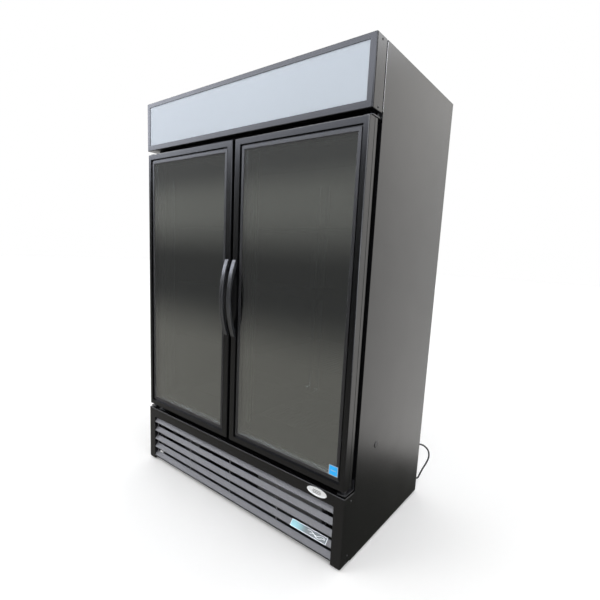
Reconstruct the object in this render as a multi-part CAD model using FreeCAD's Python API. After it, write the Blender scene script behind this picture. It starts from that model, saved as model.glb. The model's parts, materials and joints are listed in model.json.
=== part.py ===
"""Two-door glass merchandiser: an upright refrigerator with two swinging glass doors.

Millimetres, +Z up, +X to the right as seen from the front, +Y towards the back.
The origin is on the floor, under the middle of the object.
"""
import FreeCAD, Part
import math
import os

V = FreeCAD.Vector
X_DIR = V(1, 0, 0)
Y_DIR = V(0, 1, 0)
Z_DIR = V(0, 0, 1)
OUT = "parts"

# ---- Driving dimensions ---------------------------------------------------
WIDTH = 1375.0
DEPTH = 759.0               # door face to back panel
BODY_HEIGHT = 1998.0
FOOT_GAP = 8.0              # floor to the underside of the body
HANDLE_REACH = 38.0
SHEET = 1.2                 # folded sheet metal
LINER = 1.0
WALL = 50.0                 # foam in the back and the ceiling
CABINET_SETBACK = 75.0      # door face to the face of the cabinet

SIDE = WIDTH / 2
FRONT = -(DEPTH - HANDLE_REACH) / 2
BACK = FRONT + DEPTH
BOTTOM = FOOT_GAP
TOP = BOTTOM + BODY_HEIGHT
CABINET_FRONT = FRONT + CABINET_SETBACK

# heights of the bands of the front, from the underside of the body
GRILLE_TOP = BOTTOM + 313.0
DOOR_BOTTOM = BOTTOM + 338.0
DOOR_TOP = BOTTOM + 1740.0
HEADER_BOTTOM = BOTTOM + 1760.0
DECK = BOTTOM + 303.0       # roof of the machine compartment
BASE_RAIL = 38.0            # height of the base rails
REAR_GRILLE_Y = BACK - 3.0  # inner face of the rear grille

# levelling feet
FOOT_X = SIDE - 40.0
FOOT_FRONT_Y = CABINET_FRONT + 60.0
FOOT_REAR_Y = BACK - 60.0
STEM_R = 5.0

# doors
DOOR_OUTER = 679.0
DOOR_GAP_HALF = 9.0
DOOR_THICK = 56.0
HINGE_STILE = 23.0          # width of the outer flat on each member
MEETING_STILE = 32.0
RAIL = 26.0
GROOVE = 8.0
BEAD = 14.0
BEAD_SETBACK = 5.0
MEMBER_STEP = GROOVE + BEAD
GLASS_FRONT = FRONT + BEAD_SETBACK + 1.5
PANE = 4.0
PANE_GAP = 12.0
PIVOT_X = DOOR_OUTER - 16.0
PIVOT_Y = FRONT + 28.0
PIN_R = 5.0
PIN_CLEARANCE = 0.05
GASKET_INSET = 18.0
GASKET_WIDTH = 16.0
GASKET_CLEARANCE = 0.3

# opening of the cabinet behind the doors
OPENING_SIDE = 640.0
OPENING_BOTTOM = DOOR_BOTTOM + 36.0
OPENING_TOP = DOOR_TOP - 36.0
MULLION_HALF = 45.0
FACE = 3.0                  # thickness of the face frame
CEILING = TOP - SHEET - WALL
REAR_WALL = BACK - SHEET - WALL

# sign header
HEADER_DEPTH = 68.0
HEADER_WALL = 1.5
HEADER_OPENING_X = 661.0
HEADER_OPENING_LOW = BOTTOM + 1786.0
HEADER_OPENING_HIGH = BOTTOM + 1977.0

# handles
HANDLE_X = 25.0
HANDLE_WIDTH = 22.0
HANDLE_BOTTOM = BOTTOM + 858.0
HANDLE_TOP = BOTTOM + 1214.0
HANDLE_THICK = 10.0

# shelves
SHELF_LEVELS = [OPENING_BOTTOM + 70.0 + 310.0 * i for i in range(4)]
SHELF_INNER = 56.0
SHELF_OUTER = 616.0
SHELF_FRONT = CABINET_FRONT + 78.0
SHELF_BACK = REAR_WALL - 36.0
WIRE_R = 1.7
ROD_R = 2.8
SHELF_DROP = ROD_R + WIRE_R - 0.5   # wires down to the middle of the cross rods
PILASTER_LOW = OPENING_BOTTOM + 30.0
PILASTER_HIGH = OPENING_TOP - 60.0
PILASTER_DEPTH = 10.0

# evaporator housing under the ceiling
EVAP_HALF = 560.0
EVAP_FRONT = CABINET_FRONT + 155.0
EVAP_BACK = REAR_WALL - LINER - 6.0
EVAP_BOTTOM = CEILING - LINER - 200.0
EVAP_FAN_X = 270.0
EVAP_FAN_R = 78.0
EVAP_FAN_Z = EVAP_BOTTOM + 100.0
SWITCH_X = 480.0

# grille
POST = 50.0
GRILLE_BACK = CABINET_FRONT - 0.8
BAND_BOTTOM = BOTTOM + 262.0
LOUVER_EDGES = [23.3, 75.0, 125.0, 178.3, 231.7]
LOUVER_RISE = 20.0
LOUVER_RUN = 17.0
LOUVER_FRONT = FRONT + 2.0
LOUVER_BACK_EDGE = 2.0

# machine compartment
TRAY_Z = BOTTOM + BASE_RAIL
TRAY_TOP = TRAY_Z + 2.0
TRAY_HALF = 590.0
COIL_X0 = 110.0
COIL_X1 = 530.0
COIL_Y0 = CABINET_FRONT + 26.0
COIL_DEPTH = 46.0
SHROUD_Y = COIL_Y0 + COIL_DEPTH + 4.0
COND_FAN_X = (COIL_X0 + COIL_X1) / 2
COND_FAN_Y = SHROUD_Y + 14.0
COND_FAN_Z = TRAY_Z + 118.0
COND_FAN_R = 96.0
COMPRESSOR_CENTRE = V(-190.0, 120.0, TRAY_TOP + 14.0)
SHELL_R = 92.0
SHELL_HEIGHT = 196.0
DIAL_X = -430.0
DIAL_Z = TRAY_Z + 102.0

# mains cord
CORD_R = 4.5
CORD_EXIT = V(643.0, BACK + 36.0, BOTTOM + 232.0)
COIL_CENTRE = V(560.0, BACK + 80.0, 0.0)
COIL_INNER_TURN = 37.5
COIL_OUTER_TURN = 64.5
COIL_LAYERS = 2
PLUG_Z = 13.5
PLUG_LENGTH = 48.0


# ---- Helpers --------------------------------------------------------------
def box(x0, x1, y0, y1, z0, z1):
    return Part.makeBox(x1 - x0, y1 - y0, z1 - z0, V(x0, y0, z0))


def rod(start, end, radius):
    """Round bar between two points."""
    along = end - start
    return Part.makeCylinder(radius, along.Length, start, along)


def mirrored(shapes):
    """The same pieces on the other side of the centre plane."""
    return [s.mirror(V(0, 0, 0), X_DIR) for s in shapes]


def both_sides(shapes):
    return shapes + mirrored(shapes)


def prism(points, along):
    """Flat outline through the points, drawn out along a vector."""
    return Part.Face(Part.makePolygon(points + [points[0]])).extrude(along)


def fillet_where(shape, radius, wanted):
    edges = [e for e in shape.Edges if wanted(e)]
    return shape.makeFillet(radius, edges)


def runs_along(edge, axis):
    """True for a straight edge parallel to an axis."""
    if len(edge.Vertexes) != 2:
        return False
    along = edge.Vertexes[1].Point - edge.Vertexes[0].Point
    return abs(abs(along.normalize().dot(axis)) - 1) < 1e-6


def perforated(outline_box, holes, thickness):
    """Sheet in the XZ plane with holes; each is (x0, x1, z0, z1)."""
    x0, x1, y, z0, z1 = outline_box

    def loop(a, b, c, d):
        return Part.makePolygon([V(a, y, c), V(b, y, c), V(b, y, d), V(a, y, d), V(a, y, c)])

    loops = [loop(x0, x1, z0, z1)] + [loop(*hole) for hole in holes]
    return Part.makeFace(loops, "Part::FaceMakerBullseye").extrude(V(0, thickness, 0))


def rounded_route(points, label=None):
    """Straight runs joined by tangent arcs, each as large as its two runs allow."""
    edges = []
    radii = []
    last = points[0]
    for before, here, after in zip(points, points[1:], points[2:]):
        back_run = before - here
        next_run = after - here
        shorter = min(back_run.Length, next_run.Length)
        toward_back = V(back_run).normalize()
        toward_next = V(next_run).normalize()
        turn = math.pi - toward_back.getAngle(toward_next)
        reach = 0.45 * shorter
        radius = reach / math.tan(turn / 2)
        arc_start = here + toward_back * reach
        arc_end = here + toward_next * reach
        middle = (toward_back + toward_next).normalize()
        centre = here + middle * (radius / math.cos(turn / 2))
        arc_middle = centre - middle * radius
        edges.append(Part.LineSegment(last, arc_start).toShape())
        edges.append(Part.Arc(arc_start, arc_middle, arc_end).toShape())
        radii.append(radius)
        last = arc_end
    edges.append(Part.LineSegment(last, points[-1]).toShape())
    if label:
        print(label, "radii", [round(r, 1) for r in radii])
    return Part.Wire(edges)


def tube(points, radius, label=None):
    """Solid round cord along a rounded route."""
    path = rounded_route(points, label)
    circle = Part.Wire(Part.Circle(points[0], points[1] - points[0], radius).toShape())
    solid = path.makePipeShell([circle], True, False)
    if label:
        expected = math.pi * radius ** 2 * path.Length
        print(label, "length", round(path.Length, 1), "volume ratio", round(solid.Volume / expected, 4))
    return solid


def save(name, *solids):
    shape = solids[0] if len(solids) == 1 else Part.makeCompound(list(solids))
    for solid in shape.Solids:
        if not solid.isValid() or solid.Volume <= 0:
            print("BAD SOLID in", name)
    shape.exportStep(os.path.join(OUT, name + ".step"))


# ---- Insulated cabinet ----------------------------------------------------
def outer_panels():
    inner = SIDE - SHEET
    side = box(inner, SIDE, CABINET_FRONT, BACK, BOTTOM, TOP)
    save("right_side_panel", side)
    save("left_side_panel", *mirrored([side]))
    save("top_panel", box(-inner, inner, CABINET_FRONT, BACK, TOP - SHEET, TOP))
    save("back_panel", box(-inner, inner, BACK - SHEET, BACK, DECK, TOP - SHEET))


def insulation():
    edge = SIDE - SHEET
    core = OPENING_SIDE + LINER
    face_back = CABINET_FRONT + FACE
    floor = DECK + 2.0
    roof = TOP - SHEET
    sides = both_sides([box(core, edge, face_back, BACK - SHEET, floor, roof)])
    rear = box(-core, core, REAR_WALL, BACK - SHEET, floor, roof)
    ceiling = box(-core, core, face_back, REAR_WALL, CEILING, roof)
    bottom = box(-core, core, face_back, REAR_WALL, floor, OPENING_BOTTOM - LINER)
    half = OPENING_SIDE
    lintel = box(-half, half, face_back, face_back + WALL, OPENING_TOP + LINER, CEILING)
    save("insulation", *sides, rear, ceiling, bottom, lintel)


def inner_liner():
    half = OPENING_SIDE
    face_back = CABINET_FRONT + FACE
    low = OPENING_BOTTOM
    lintel_back = face_back + WALL
    sides = both_sides([box(half, half + LINER, face_back, REAR_WALL, low, CEILING - LINER)])
    rear = box(-half, half, REAR_WALL - LINER, REAR_WALL, low, CEILING - LINER)
    floor = box(-half, half, face_back, REAR_WALL, low - LINER, low)
    ceiling = box(-half, half, lintel_back, REAR_WALL, CEILING - LINER, CEILING)
    lintel_face = box(-half, half, lintel_back, lintel_back + LINER, OPENING_TOP, CEILING - LINER)
    lintel_lip = box(-half, half, face_back, lintel_back, OPENING_TOP, OPENING_TOP + LINER)
    save("inner_liner", *sides, rear, floor, ceiling, lintel_face, lintel_lip)


def face_frame():
    edge = SIDE - SHEET
    y0, y1 = CABINET_FRONT, CABINET_FRONT + FACE
    stile = box(OPENING_SIDE, edge, y0, y1, DECK + 2.0, TOP - SHEET)
    sill = box(-OPENING_SIDE, OPENING_SIDE, y0, y1, DECK + 2.0, OPENING_BOTTOM)
    head = box(-OPENING_SIDE, OPENING_SIDE, y0, y1, OPENING_TOP, TOP - SHEET)
    save("face_frame", *both_sides([stile]), sill, head)
    post = box(-MULLION_HALF, MULLION_HALF, y0, y0 + 48.0, OPENING_BOTTOM, OPENING_TOP)
    core = box(-MULLION_HALF + 3, MULLION_HALF - 3, y0 + 3, y0 + 45, OPENING_BOTTOM - 1, OPENING_TOP + 1)
    save("center_mullion", post.cut(core))


def base():
    """Hollow rails, corner posts and the deck over the machine compartment."""
    edge = SIDE - SHEET
    rail_top = BOTTOM + BASE_RAIL
    wall = 2.0

    def hollow(x0, x1, y0, y1, z0, z1, axis):
        grow = [wall if axis == k else -wall for k in "xyz"]
        core = box(x0 - grow[0], x1 + grow[0], y0 - grow[1], y1 + grow[1], z0 - grow[2], z1 + grow[2])
        return box(x0, x1, y0, y1, z0, z1).cut(core)

    y0, y1 = CABINET_FRONT, BACK - SHEET
    side = hollow(edge - 70.0, edge, y0, y1, BOTTOM, rail_top, "y")
    for x, y in ((FOOT_X, FOOT_FRONT_Y), (FOOT_X, FOOT_REAR_Y)):
        side = side.cut(Part.makeCylinder(STEM_R + PIN_CLEARANCE, BASE_RAIL, V(x, y, BOTTOM - 10)))
    inner = edge - 70.0
    front = hollow(-inner, inner, y0, y0 + 40.0, BOTTOM, rail_top, "x")
    rear = hollow(-inner, inner, y1 - 40.0, y1, BOTTOM, rail_top, "x")
    posts = []
    for y_low in (y0, REAR_GRILLE_Y - 30.0):
        outer = box(edge - 30.0, edge, y_low, y_low + 30.0, rail_top, DECK)
        hollow_y = y_low + (wall if y_low == y0 else 0)
        inner_box = box(edge - 30.0, edge - wall, hollow_y, hollow_y + 30.0 - wall, rail_top, DECK)
        posts.append(outer.cut(inner_box))
    deck = box(-edge, edge, y0, y1, DECK, DECK + 2.0)
    save("base_frame", *both_sides([side] + posts), front, rear, deck)


def feet():
    """Levelling feet: pad, hexagon and threaded stem."""
    places = {
        "front_right_foot": (FOOT_X, FOOT_FRONT_Y),
        "front_left_foot": (-FOOT_X, FOOT_FRONT_Y),
        "rear_right_foot": (FOOT_X, FOOT_REAR_Y),
        "rear_left_foot": (-FOOT_X, FOOT_REAR_Y),
    }
    for name, (x, y) in places.items():
        pad = Part.makeCylinder(20.0, 4.5, V(x, y, 0))
        pad = fillet_where(pad, 1.0, lambda e: e.BoundBox.ZMin > 4.4 and e.BoundBox.ZLength < 0.01)
        corners = []
        for i in range(6):
            angle = math.radians(60 * i)
            corners.append(V(x + 9 * math.cos(angle), y + 9 * math.sin(angle), 4.0))
        nut = prism(corners, V(0, 0, 3.8))
        stem = Part.makeCylinder(STEM_R, 26.0, V(x, y, 4.0))
        save(name, pad.fuse([nut, stem]).removeSplitter())


def side_plugs():
    """Round caps over the lifting holes in the side panels."""
    centre = V(SIDE - 1.0, FRONT + 232.0, BOTTOM + 461.0)
    cap = Part.makeCylinder(14.5, 3.4, centre, X_DIR)
    rim = SIDE + 2.4
    cap = fillet_where(cap, 1.9, lambda e: e.BoundBox.XLength < 0.01 and abs(e.BoundBox.XMax - rim) < 0.01)
    hole_fill = Part.makeCylinder(14.5, 1.0, V(SIDE - 1.0, centre.y, centre.z), X_DIR)
    save("side_plugs", *both_sides([cap.cut(hole_fill)]))


# ---- Inside the cabinet ---------------------------------------------------
def slotted_channel(x_centre, y_face, toward_front):
    """Slotted upright, 20 wide, its slotted face towards the front or the back."""
    sheet = 1.2
    half = 10.0
    pitch = 25.4
    count = int((PILASTER_HIGH - PILASTER_LOW - 20) / pitch)
    slots = []
    for i in range(count):
        z = PILASTER_LOW + 14 + i * pitch
        slots.append((x_centre - 3, x_centre + 3, z, z + 12))
    thickness = sheet if toward_front else -sheet
    outline = (x_centre - half, x_centre + half, y_face, PILASTER_LOW, PILASTER_HIGH)
    face = perforated(outline, slots, thickness)
    y_far = y_face + (PILASTER_DEPTH if toward_front else -PILASTER_DEPTH)
    y0, y1 = sorted((y_face, y_far))
    flanges = []
    for x0 in (x_centre - half, x_centre + half - sheet):
        flanges.append(box(x0, x0 + sheet, y0, y1, PILASTER_LOW, PILASTER_HIGH))
    return face.fuse(flanges)


def pilaster_places():
    """Each upright's middle, its slotted face and the way that face looks."""
    rear_face = REAR_WALL - LINER - PILASTER_DEPTH
    front_face = CABINET_FRONT + 48.0 + 2.0 + PILASTER_DEPTH
    places = []
    for x in (SHELF_INNER - 26.0, SHELF_OUTER - 16.0):
        places.append((x, rear_face, True))
    places.append((SHELF_INNER - 26.0, front_face, False))
    places.append((SHELF_OUTER + 11.0, front_face, False))
    return places


def shelf_pilasters():
    uprights = [slotted_channel(*place) for place in pilaster_places()]
    # brackets that hold the front uprights off the mullion and the side wall
    ties = []
    mullion_back = CABINET_FRONT + 48.0
    for z in (PILASTER_LOW + 8.0, PILASTER_HIGH - 28.0):
        x0, x1 = SHELF_INNER - 33.0, SHELF_INNER - 19.0
        ties.append(box(x0, x1, mullion_back, mullion_back + 2, z, z + 20))
        ties.append(box(SHELF_OUTER + 21.0, OPENING_SIDE, mullion_back + 4, mullion_back + 10, z, z + 20))
    save("shelf_pilasters", *both_sides(uprights + ties))


def shelf_clips():
    """Hooks in the uprights; each carries one corner of a shelf."""
    clips = []
    rod_bottom = -SHELF_DROP - ROD_R
    for level in SHELF_LEVELS:
        top = level + rod_bottom
        for x, y_face, toward_front in pilaster_places():
            reach = 30.0 if toward_front else -34.0
            y0, y1 = sorted((y_face, y_face - reach))
            inward = 14.0 if x < 200 else -14.0
            x0, x1 = sorted((x - 5.0 * math.copysign(1, inward), x + inward * 1.5))
            if toward_front and x > 200:
                x0, x1 = x - 8.0, x + 5.0
            clips.append(box(x0, x1, y0, y1, top - 3.0, top))
            clips.append(box(x - 2.5, x + 2.5, y0, y1, top - 14.0, top - 3.0))
    fused = [clips[i].fuse(clips[i + 1]) for i in range(0, len(clips), 2)]
    save("shelf_clips", *both_sides(fused))


def wire_shelf():
    """Round wires front to back, welded on cross rods; level 0 is the wires' middle line."""
    pitch = 23.0
    count = int((SHELF_OUTER - SHELF_INNER) / pitch)
    margin = (SHELF_OUTER - SHELF_INNER - (count - 1) * pitch) / 2
    wires = []
    for i in range(count):
        x = SHELF_INNER + margin + i * pitch
        wires.append(rod(V(x, SHELF_FRONT, 0), V(x, SHELF_BACK, 0), WIRE_R))
    span = SHELF_BACK - SHELF_FRONT
    rods = []
    for part in (0.02, 0.34, 0.66, 0.98):
        y = SHELF_FRONT + part * span
        rods.append(rod(V(SHELF_INNER, y, -SHELF_DROP), V(SHELF_OUTER, y, -SHELF_DROP), ROD_R))
    return rods[0].fuse(rods[1:] + wires)


def shelves():
    one = wire_shelf()
    right = []
    for level in SHELF_LEVELS:
        right.append(one.translated(V(0, 0, level)))
    save("right_shelves", *right)
    save("left_shelves", *mirrored(right))


def fan_wheel(centre, outer_r, hub_r, blades, depth):
    """Fan with its axle along Y; the blades are twisted plates."""
    hub = Part.makeCylinder(hub_r, depth, V(0, -depth / 2, 0), Y_DIR)
    pieces = []
    for i in range(blades):
        outlines = []
        for radius, chord, pitch in ((hub_r - 2, 0.55 * outer_r, 38), (outer_r, 0.85 * outer_r, 24)):
            tilt = math.radians(pitch)
            c, s = math.cos(tilt) * chord / 2, math.sin(tilt) * chord / 2
            nx, ny = -math.sin(tilt), math.cos(tilt)
            corners = []
            for sign, off in ((-1, -1), (1, -1), (1, 1), (-1, 1)):
                corners.append(V(sign * c + off * nx, sign * s + off * ny, radius))
            outlines.append(Part.makePolygon(corners + [corners[0]]))
        blade = Part.makeLoft(outlines, True, True)
        limit = Part.makeCylinder(outer_r, 400, V(0, -200, 0), Y_DIR)
        blade = blade.common(limit)
        blade.rotate(V(0, 0, 0), Y_DIR, 360.0 * i / blades)
        pieces.append(blade)
    wheel = hub.fuse(pieces)
    bore = Part.makeCylinder(4.05, 4 * depth, V(0, -2 * depth, 0), Y_DIR)
    nose = Part.makeCylinder(hub_r * 0.7, 3.0, V(0, -depth / 2 - 3.0, 0), Y_DIR)
    wheel = wheel.cut(bore).fuse(nose)
    return wheel.translated(centre)


def motor(centre, radius, length, shaft_start):
    """Motor body behind the fan, with a shaft into the hub."""
    body = Part.makeCylinder(radius, length, centre, Y_DIR)
    body = fillet_where(body, 4.0, lambda e: e.BoundBox.YLength < 0.01)
    shaft = Part.makeCylinder(4.0, centre.y - shaft_start + 1.0, V(centre.x, shaft_start, centre.z), Y_DIR)
    return body.fuse(shaft)


def evaporator():
    x1, y0, y1, z0, z1 = EVAP_HALF, EVAP_FRONT, EVAP_BACK, EVAP_BOTTOM, CEILING - LINER
    shell = box(-x1, x1, y0, y1, z0, z1).cut(box(-x1 + 1.2, x1 - 1.2, y0 + 1.2, y1 - 1.2, z0 + 1.2, z1 + 1))
    for x in (-EVAP_FAN_X, EVAP_FAN_X):
        shell = shell.cut(Part.makeCylinder(EVAP_FAN_R + 5, 20, V(x, y0 - 10, EVAP_FAN_Z), Y_DIR))
    switch_x0, switch_x1 = SWITCH_X - 10.2, SWITCH_X + 10.2
    shell = shell.cut(box(switch_x0, switch_x1, y0 - 5, y0 + 5, EVAP_FAN_Z - 15.2, EVAP_FAN_Z + 15.2))
    slots = []
    for i in range(16):
        x = -EVAP_HALF + 70 + i * (2 * EVAP_HALF - 140) / 15
        slots.append(box(x - 22, x + 22, y0 + 40, y0 + 48, z0 - 2, z0 + 4))
        slots.append(box(x - 22, x + 22, y0 + 60, y0 + 68, z0 - 2, z0 + 4))
    save("evaporator_cover", shell.cut(Part.makeCompound(slots)))
    coil_y = y0 + 200.0
    tubes = []
    for row in range(2):
        for i in range(5):
            z = z0 + 34 + i * 32.0
            y = coil_y + 25 + row * 60
            tubes.append(rod(V(-430, y, z), V(430, y, z), 6.0))
    ends = [box(s * 420 - 1, s * 420 + 1, coil_y, coil_y + 110, z0 + 14, z0 + 184) for s in (-1, 1)]
    fin_block = box(-400, 400, coil_y, coil_y + 110, z0 + 18, z0 + 180)
    save("evaporator_coil", fin_block.fuse(tubes + ends))
    for name, x in (("evaporator_fan_right", EVAP_FAN_X), ("evaporator_fan_left", -EVAP_FAN_X)):
        save(name, fan_wheel(V(x, y0 + 24, EVAP_FAN_Z), EVAP_FAN_R, 20.0, 5, 18.0))
    rocker_angle = 8.0
    rocker = box(SWITCH_X - 9.5, SWITCH_X + 9.5, y0 - 4, y0 + 8, EVAP_FAN_Z - 12.5, EVAP_FAN_Z + 12.5)
    rocker = fillet_where(rocker, 1.0, lambda e: runs_along(e, X_DIR) and e.CenterOfMass.y < y0)
    rocker.rotate(V(SWITCH_X, y0 + 6, EVAP_FAN_Z), X_DIR, rocker_angle)
    save("light_switch", rocker)


def lamps():
    """Light bars beside the doors' inner edges, and the tube behind the sign."""
    y0 = CABINET_FRONT + 14.0
    low, high = OPENING_BOTTOM + 40.0, OPENING_TOP - 30.0
    bars = []
    for x_wall, inward in ((MULLION_HALF, 1), (OPENING_SIDE, -1)):
        points = []
        for dx, dy in ((0, 0), (5, 0), (9, 6), (9, 16), (5, 22), (0, 22)):
            points.append(V(x_wall + inward * dx, y0 + dy, low))
        bars.append(prism(points, V(0, 0, high - low)))
    lamp_z = (HEADER_BOTTOM + TOP) / 2
    lamp_y = FRONT + 42.0
    socket_back = FRONT + HEADER_DEPTH - HEADER_WALL
    sockets = both_sides([box(560, 590, lamp_y - 13, socket_back, lamp_z - 15, lamp_z + 15)])
    sign_lamp = rod(V(-560, lamp_y, lamp_z), V(560, lamp_y, lamp_z), 9.0)
    save("lamps", *both_sides(bars), *sockets, sign_lamp)


# ---- Sign header ----------------------------------------------------------
def header():
    y0, y1 = FRONT, FRONT + HEADER_DEPTH
    z0, z1 = HEADER_BOTTOM, TOP
    wall = HEADER_WALL
    outer = box(-SIDE, SIDE, y0, y1, z0, z1)
    outer = fillet_where(outer, 6.0, lambda e: abs(e.CenterOfMass.y - y0) < 0.01 and runs_along(e, Z_DIR))
    outer = fillet_where(outer, 2.5, lambda e: abs(e.CenterOfMass.y - y0) < 0.01 and runs_along(e, X_DIR))
    hollow = box(-SIDE + wall, SIDE - wall, y0 + 7.0, y1 + 1, z0 + wall, z1 - wall)
    lip = box(-SIDE + 20, SIDE - 20, y0 + 2.5, y1, z0 + 16, z1 - 16)
    half = HEADER_OPENING_X
    window = box(-half, half, y0 - 1, y0 + 5, HEADER_OPENING_LOW, HEADER_OPENING_HIGH)
    save("header_bezel", outer.cut([hollow, lip, window]))
    save("header_panel", box(-SIDE + 22, SIDE - 22, y0 + 2.6, y0 + 5.6, z0 + 17.5, z1 - 17.5))
    gap = wall + 0.2
    tray = box(-SIDE + gap, SIDE - gap, y0 + 22, y1, z0 + gap, z1 - gap)
    tray = tray.cut(box(-SIDE + 2 * gap, SIDE - 2 * gap, y0 + 20, y1 - wall, z0 + 2 * gap, z1 - 2 * gap))
    bosses = []
    for x in (-520, 0, 520):
        for z in (z0 + 60, z1 - 60):
            bosses.append(Part.makeCylinder(14.0, CABINET_FRONT - y1 + wall, V(x, y1 - wall, z), Y_DIR))
    save("header_housing", tray.fuse(bosses))


def fascia_screws():
    """Pan heads: two at each end of the header, two at each end of the grille."""
    heads = []
    spots = [(FRONT + 38.0, BOTTOM + 1771.0), (FRONT + 38.0, BOTTOM + 1986.0)]
    spots += [(FRONT + 48.0, BOTTOM + 40.0), (FRONT + 48.0, BOTTOM + 286.0)]
    for y, z in spots:
        head = Part.makeCylinder(4.2, 1.6, V(SIDE, y, z), X_DIR)
        head = fillet_where(head, 1.2, lambda e: e.BoundBox.XLength < 0.01 and e.BoundBox.XMax > SIDE + 1)
        cross = [box(SIDE + 1.0, SIDE + 2, y - 2.2, y + 2.2, z - 0.45, z + 0.45)]
        cross.append(box(SIDE + 1.0, SIDE + 2, y - 0.45, y + 0.45, z - 2.2, z + 2.2))
        heads.append(head.cut(cross))
    save("fascia_screws", *both_sides(heads))


# ---- Grille ---------------------------------------------------------------
def grille():
    wall = 1.5
    post = box(SIDE - POST, SIDE, FRONT, GRILLE_BACK, BOTTOM, BAND_BOTTOM)
    post = fillet_where(post, 8.0, lambda e: runs_along(e, Y_DIR) and e.CenterOfMass.z < BOTTOM + 1
                        and e.CenterOfMass.x > SIDE - 1)
    post = fillet_where(post, 3.0, lambda e: runs_along(e, Z_DIR) and e.CenterOfMass.y < FRONT + 1
                        and e.CenterOfMass.x > SIDE - 1)
    outer, above = SIDE - wall, BAND_BOTTOM + 1
    core = box(SIDE - POST - 1, outer, FRONT + 26.0, GRILLE_BACK + 1, BOTTOM - 1, above)
    core = core.fuse(box(SIDE - POST + wall, outer, FRONT + wall, FRONT + 26, BOTTOM + 9, above))
    post = post.cut(core)
    band = box(-SIDE, SIDE, FRONT, GRILLE_BACK, BAND_BOTTOM, GRILLE_TOP)
    band = fillet_where(band, 3.0, lambda e: abs(e.CenterOfMass.y - FRONT) < 0.01 and runs_along(e, Z_DIR))
    band = fillet_where(band, 2.5, lambda e: abs(e.CenterOfMass.y - FRONT) < 0.01 and runs_along(e, X_DIR)
                        and e.CenterOfMass.z > BAND_BOTTOM + 5)
    hollow = box(-outer, outer, FRONT + wall, GRILLE_BACK + 1, BAND_BOTTOM - 1, GRILLE_TOP - wall)
    lip = box(-SIDE + POST, SIDE - POST, FRONT + wall, FRONT + 22.0, BAND_BOTTOM, BAND_BOTTOM + wall)
    band = band.cut(hollow).fuse(lip)
    half = SIDE - POST
    sill = box(-half, half, FRONT + 1.0, FRONT + 24.0, BOTTOM + 17.0, BOTTOM + 19.0)
    save("grille_frame", band, *both_sides([post]), sill)

    slats = []
    for edge in LOUVER_EDGES:
        z = BOTTOM + edge
        y = LOUVER_FRONT
        rear = y + LOUVER_RUN
        points = [V(-half, y, z), V(-half, rear, z + LOUVER_RISE)]
        points += [V(-half, rear, z + LOUVER_RISE - LOUVER_BACK_EDGE)]
        points += [V(-half, y + 1.5, z - 2.5), V(-half, y, z - 2.5)]
        slats.append(prism(points, V(2 * half, 0, 0)))
    ribs = []
    rib_front = LOUVER_FRONT + LOUVER_RUN
    for x in (-half + 4, -320.0, 0.0, 320.0, half - 4):
        ribs.append(box(x - 3, x + 3, rib_front, rib_front + 3.0, BOTTOM + 19, BAND_BOTTOM))
    save("grille_louvers", *slats, *ribs)


def badges():
    """Blank plates: a tilted one on a slat, an oval one on the band, a square one on a door."""
    slat_y, slat_z = LOUVER_FRONT, BOTTOM + LOUVER_EDGES[1]
    slope = math.hypot(LOUVER_RUN, LOUVER_RISE)
    along = V(0, LOUVER_RUN / slope, LOUVER_RISE / slope)
    normal = V(0, -along.z, along.y)
    x0, x1 = 418.0, 609.0
    thick = 1.6
    start = V(x0, slat_y, slat_z) - along * 0.8
    end = start + along * (slope + 1.6)
    plate = prism([start, end, end + normal * thick, start + normal * thick], V(x1 - x0, 0, 0))
    save("grille_badge", plate)

    oval_x, oval_z = 552.0, BOTTOM + 291.0
    turned = FreeCAD.Rotation(X_DIR, 90)

    def oval(half_width, half_height, y_back, thickness):
        curve = Part.Ellipse(V(0, 0, 0), half_width, half_height).toShape()
        face = Part.Face(Part.Wire(curve))
        face.Placement = FreeCAD.Placement(V(oval_x, y_back, oval_z), turned)
        return face.extrude(V(0, -thickness, 0))

    rim = oval(50.0, 18.0, FRONT, 2.4)
    recess = oval(47.0, 15.4, FRONT - 1.6, 1.0)
    save("oval_plate", rim.cut(recess))


# ---- Doors ----------------------------------------------------------------
def inset_box(left, right, low, high, y0, y1):
    """Block as large as the right door, less an inset on each edge."""
    return box(DOOR_GAP_HALF + left, DOOR_OUTER - right, y0, y1, DOOR_BOTTOM + low, DOOR_TOP - high)


def stepped(offset, y0, y1):
    """Block at an offset inside the inner edges of the door's outer flats."""
    return inset_box(MEETING_STILE + offset, HINGE_STILE + offset, RAIL + offset, RAIL + offset, y0, y1)


def even(offset, y0, y1):
    """Block at the same inset from every edge of the door."""
    return inset_box(offset, offset, offset, offset, y0, y1)


def mitre_line(edge_x, edge_z, flat, toward_x, toward_z):
    """From a door corner over the corners of the flats and on through the steps."""
    rounded = 6.0
    steps = MEMBER_STEP + 8.0
    y = FRONT - 10
    flat_x = edge_x + flat * toward_x
    flat_z = edge_z + RAIL * toward_z
    return [
        V(edge_x, y, edge_z),
        V(edge_x + rounded * toward_x, y, edge_z + rounded * toward_z),
        V(flat_x, y, flat_z),
        V(flat_x + steps * toward_x, y, flat_z + steps * toward_z),
    ]


def split_members(ring):
    """Cut a ring at its mitres into four members."""
    lines = [
        mitre_line(DOOR_GAP_HALF, DOOR_BOTTOM, MEETING_STILE, 1, 1),
        mitre_line(DOOR_OUTER, DOOR_BOTTOM, HINGE_STILE, -1, 1),
        mitre_line(DOOR_OUTER, DOOR_TOP, HINGE_STILE, -1, -1),
        mitre_line(DOOR_GAP_HALF, DOOR_TOP, MEETING_STILE, 1, -1),
    ]
    members = []
    for line, following in zip(lines, lines[1:] + lines[:1]):
        wedge = prism(line + following[::-1], V(0, DOOR_THICK + 40, 0))
        members.append(ring.common(wedge))
    return members


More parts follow.
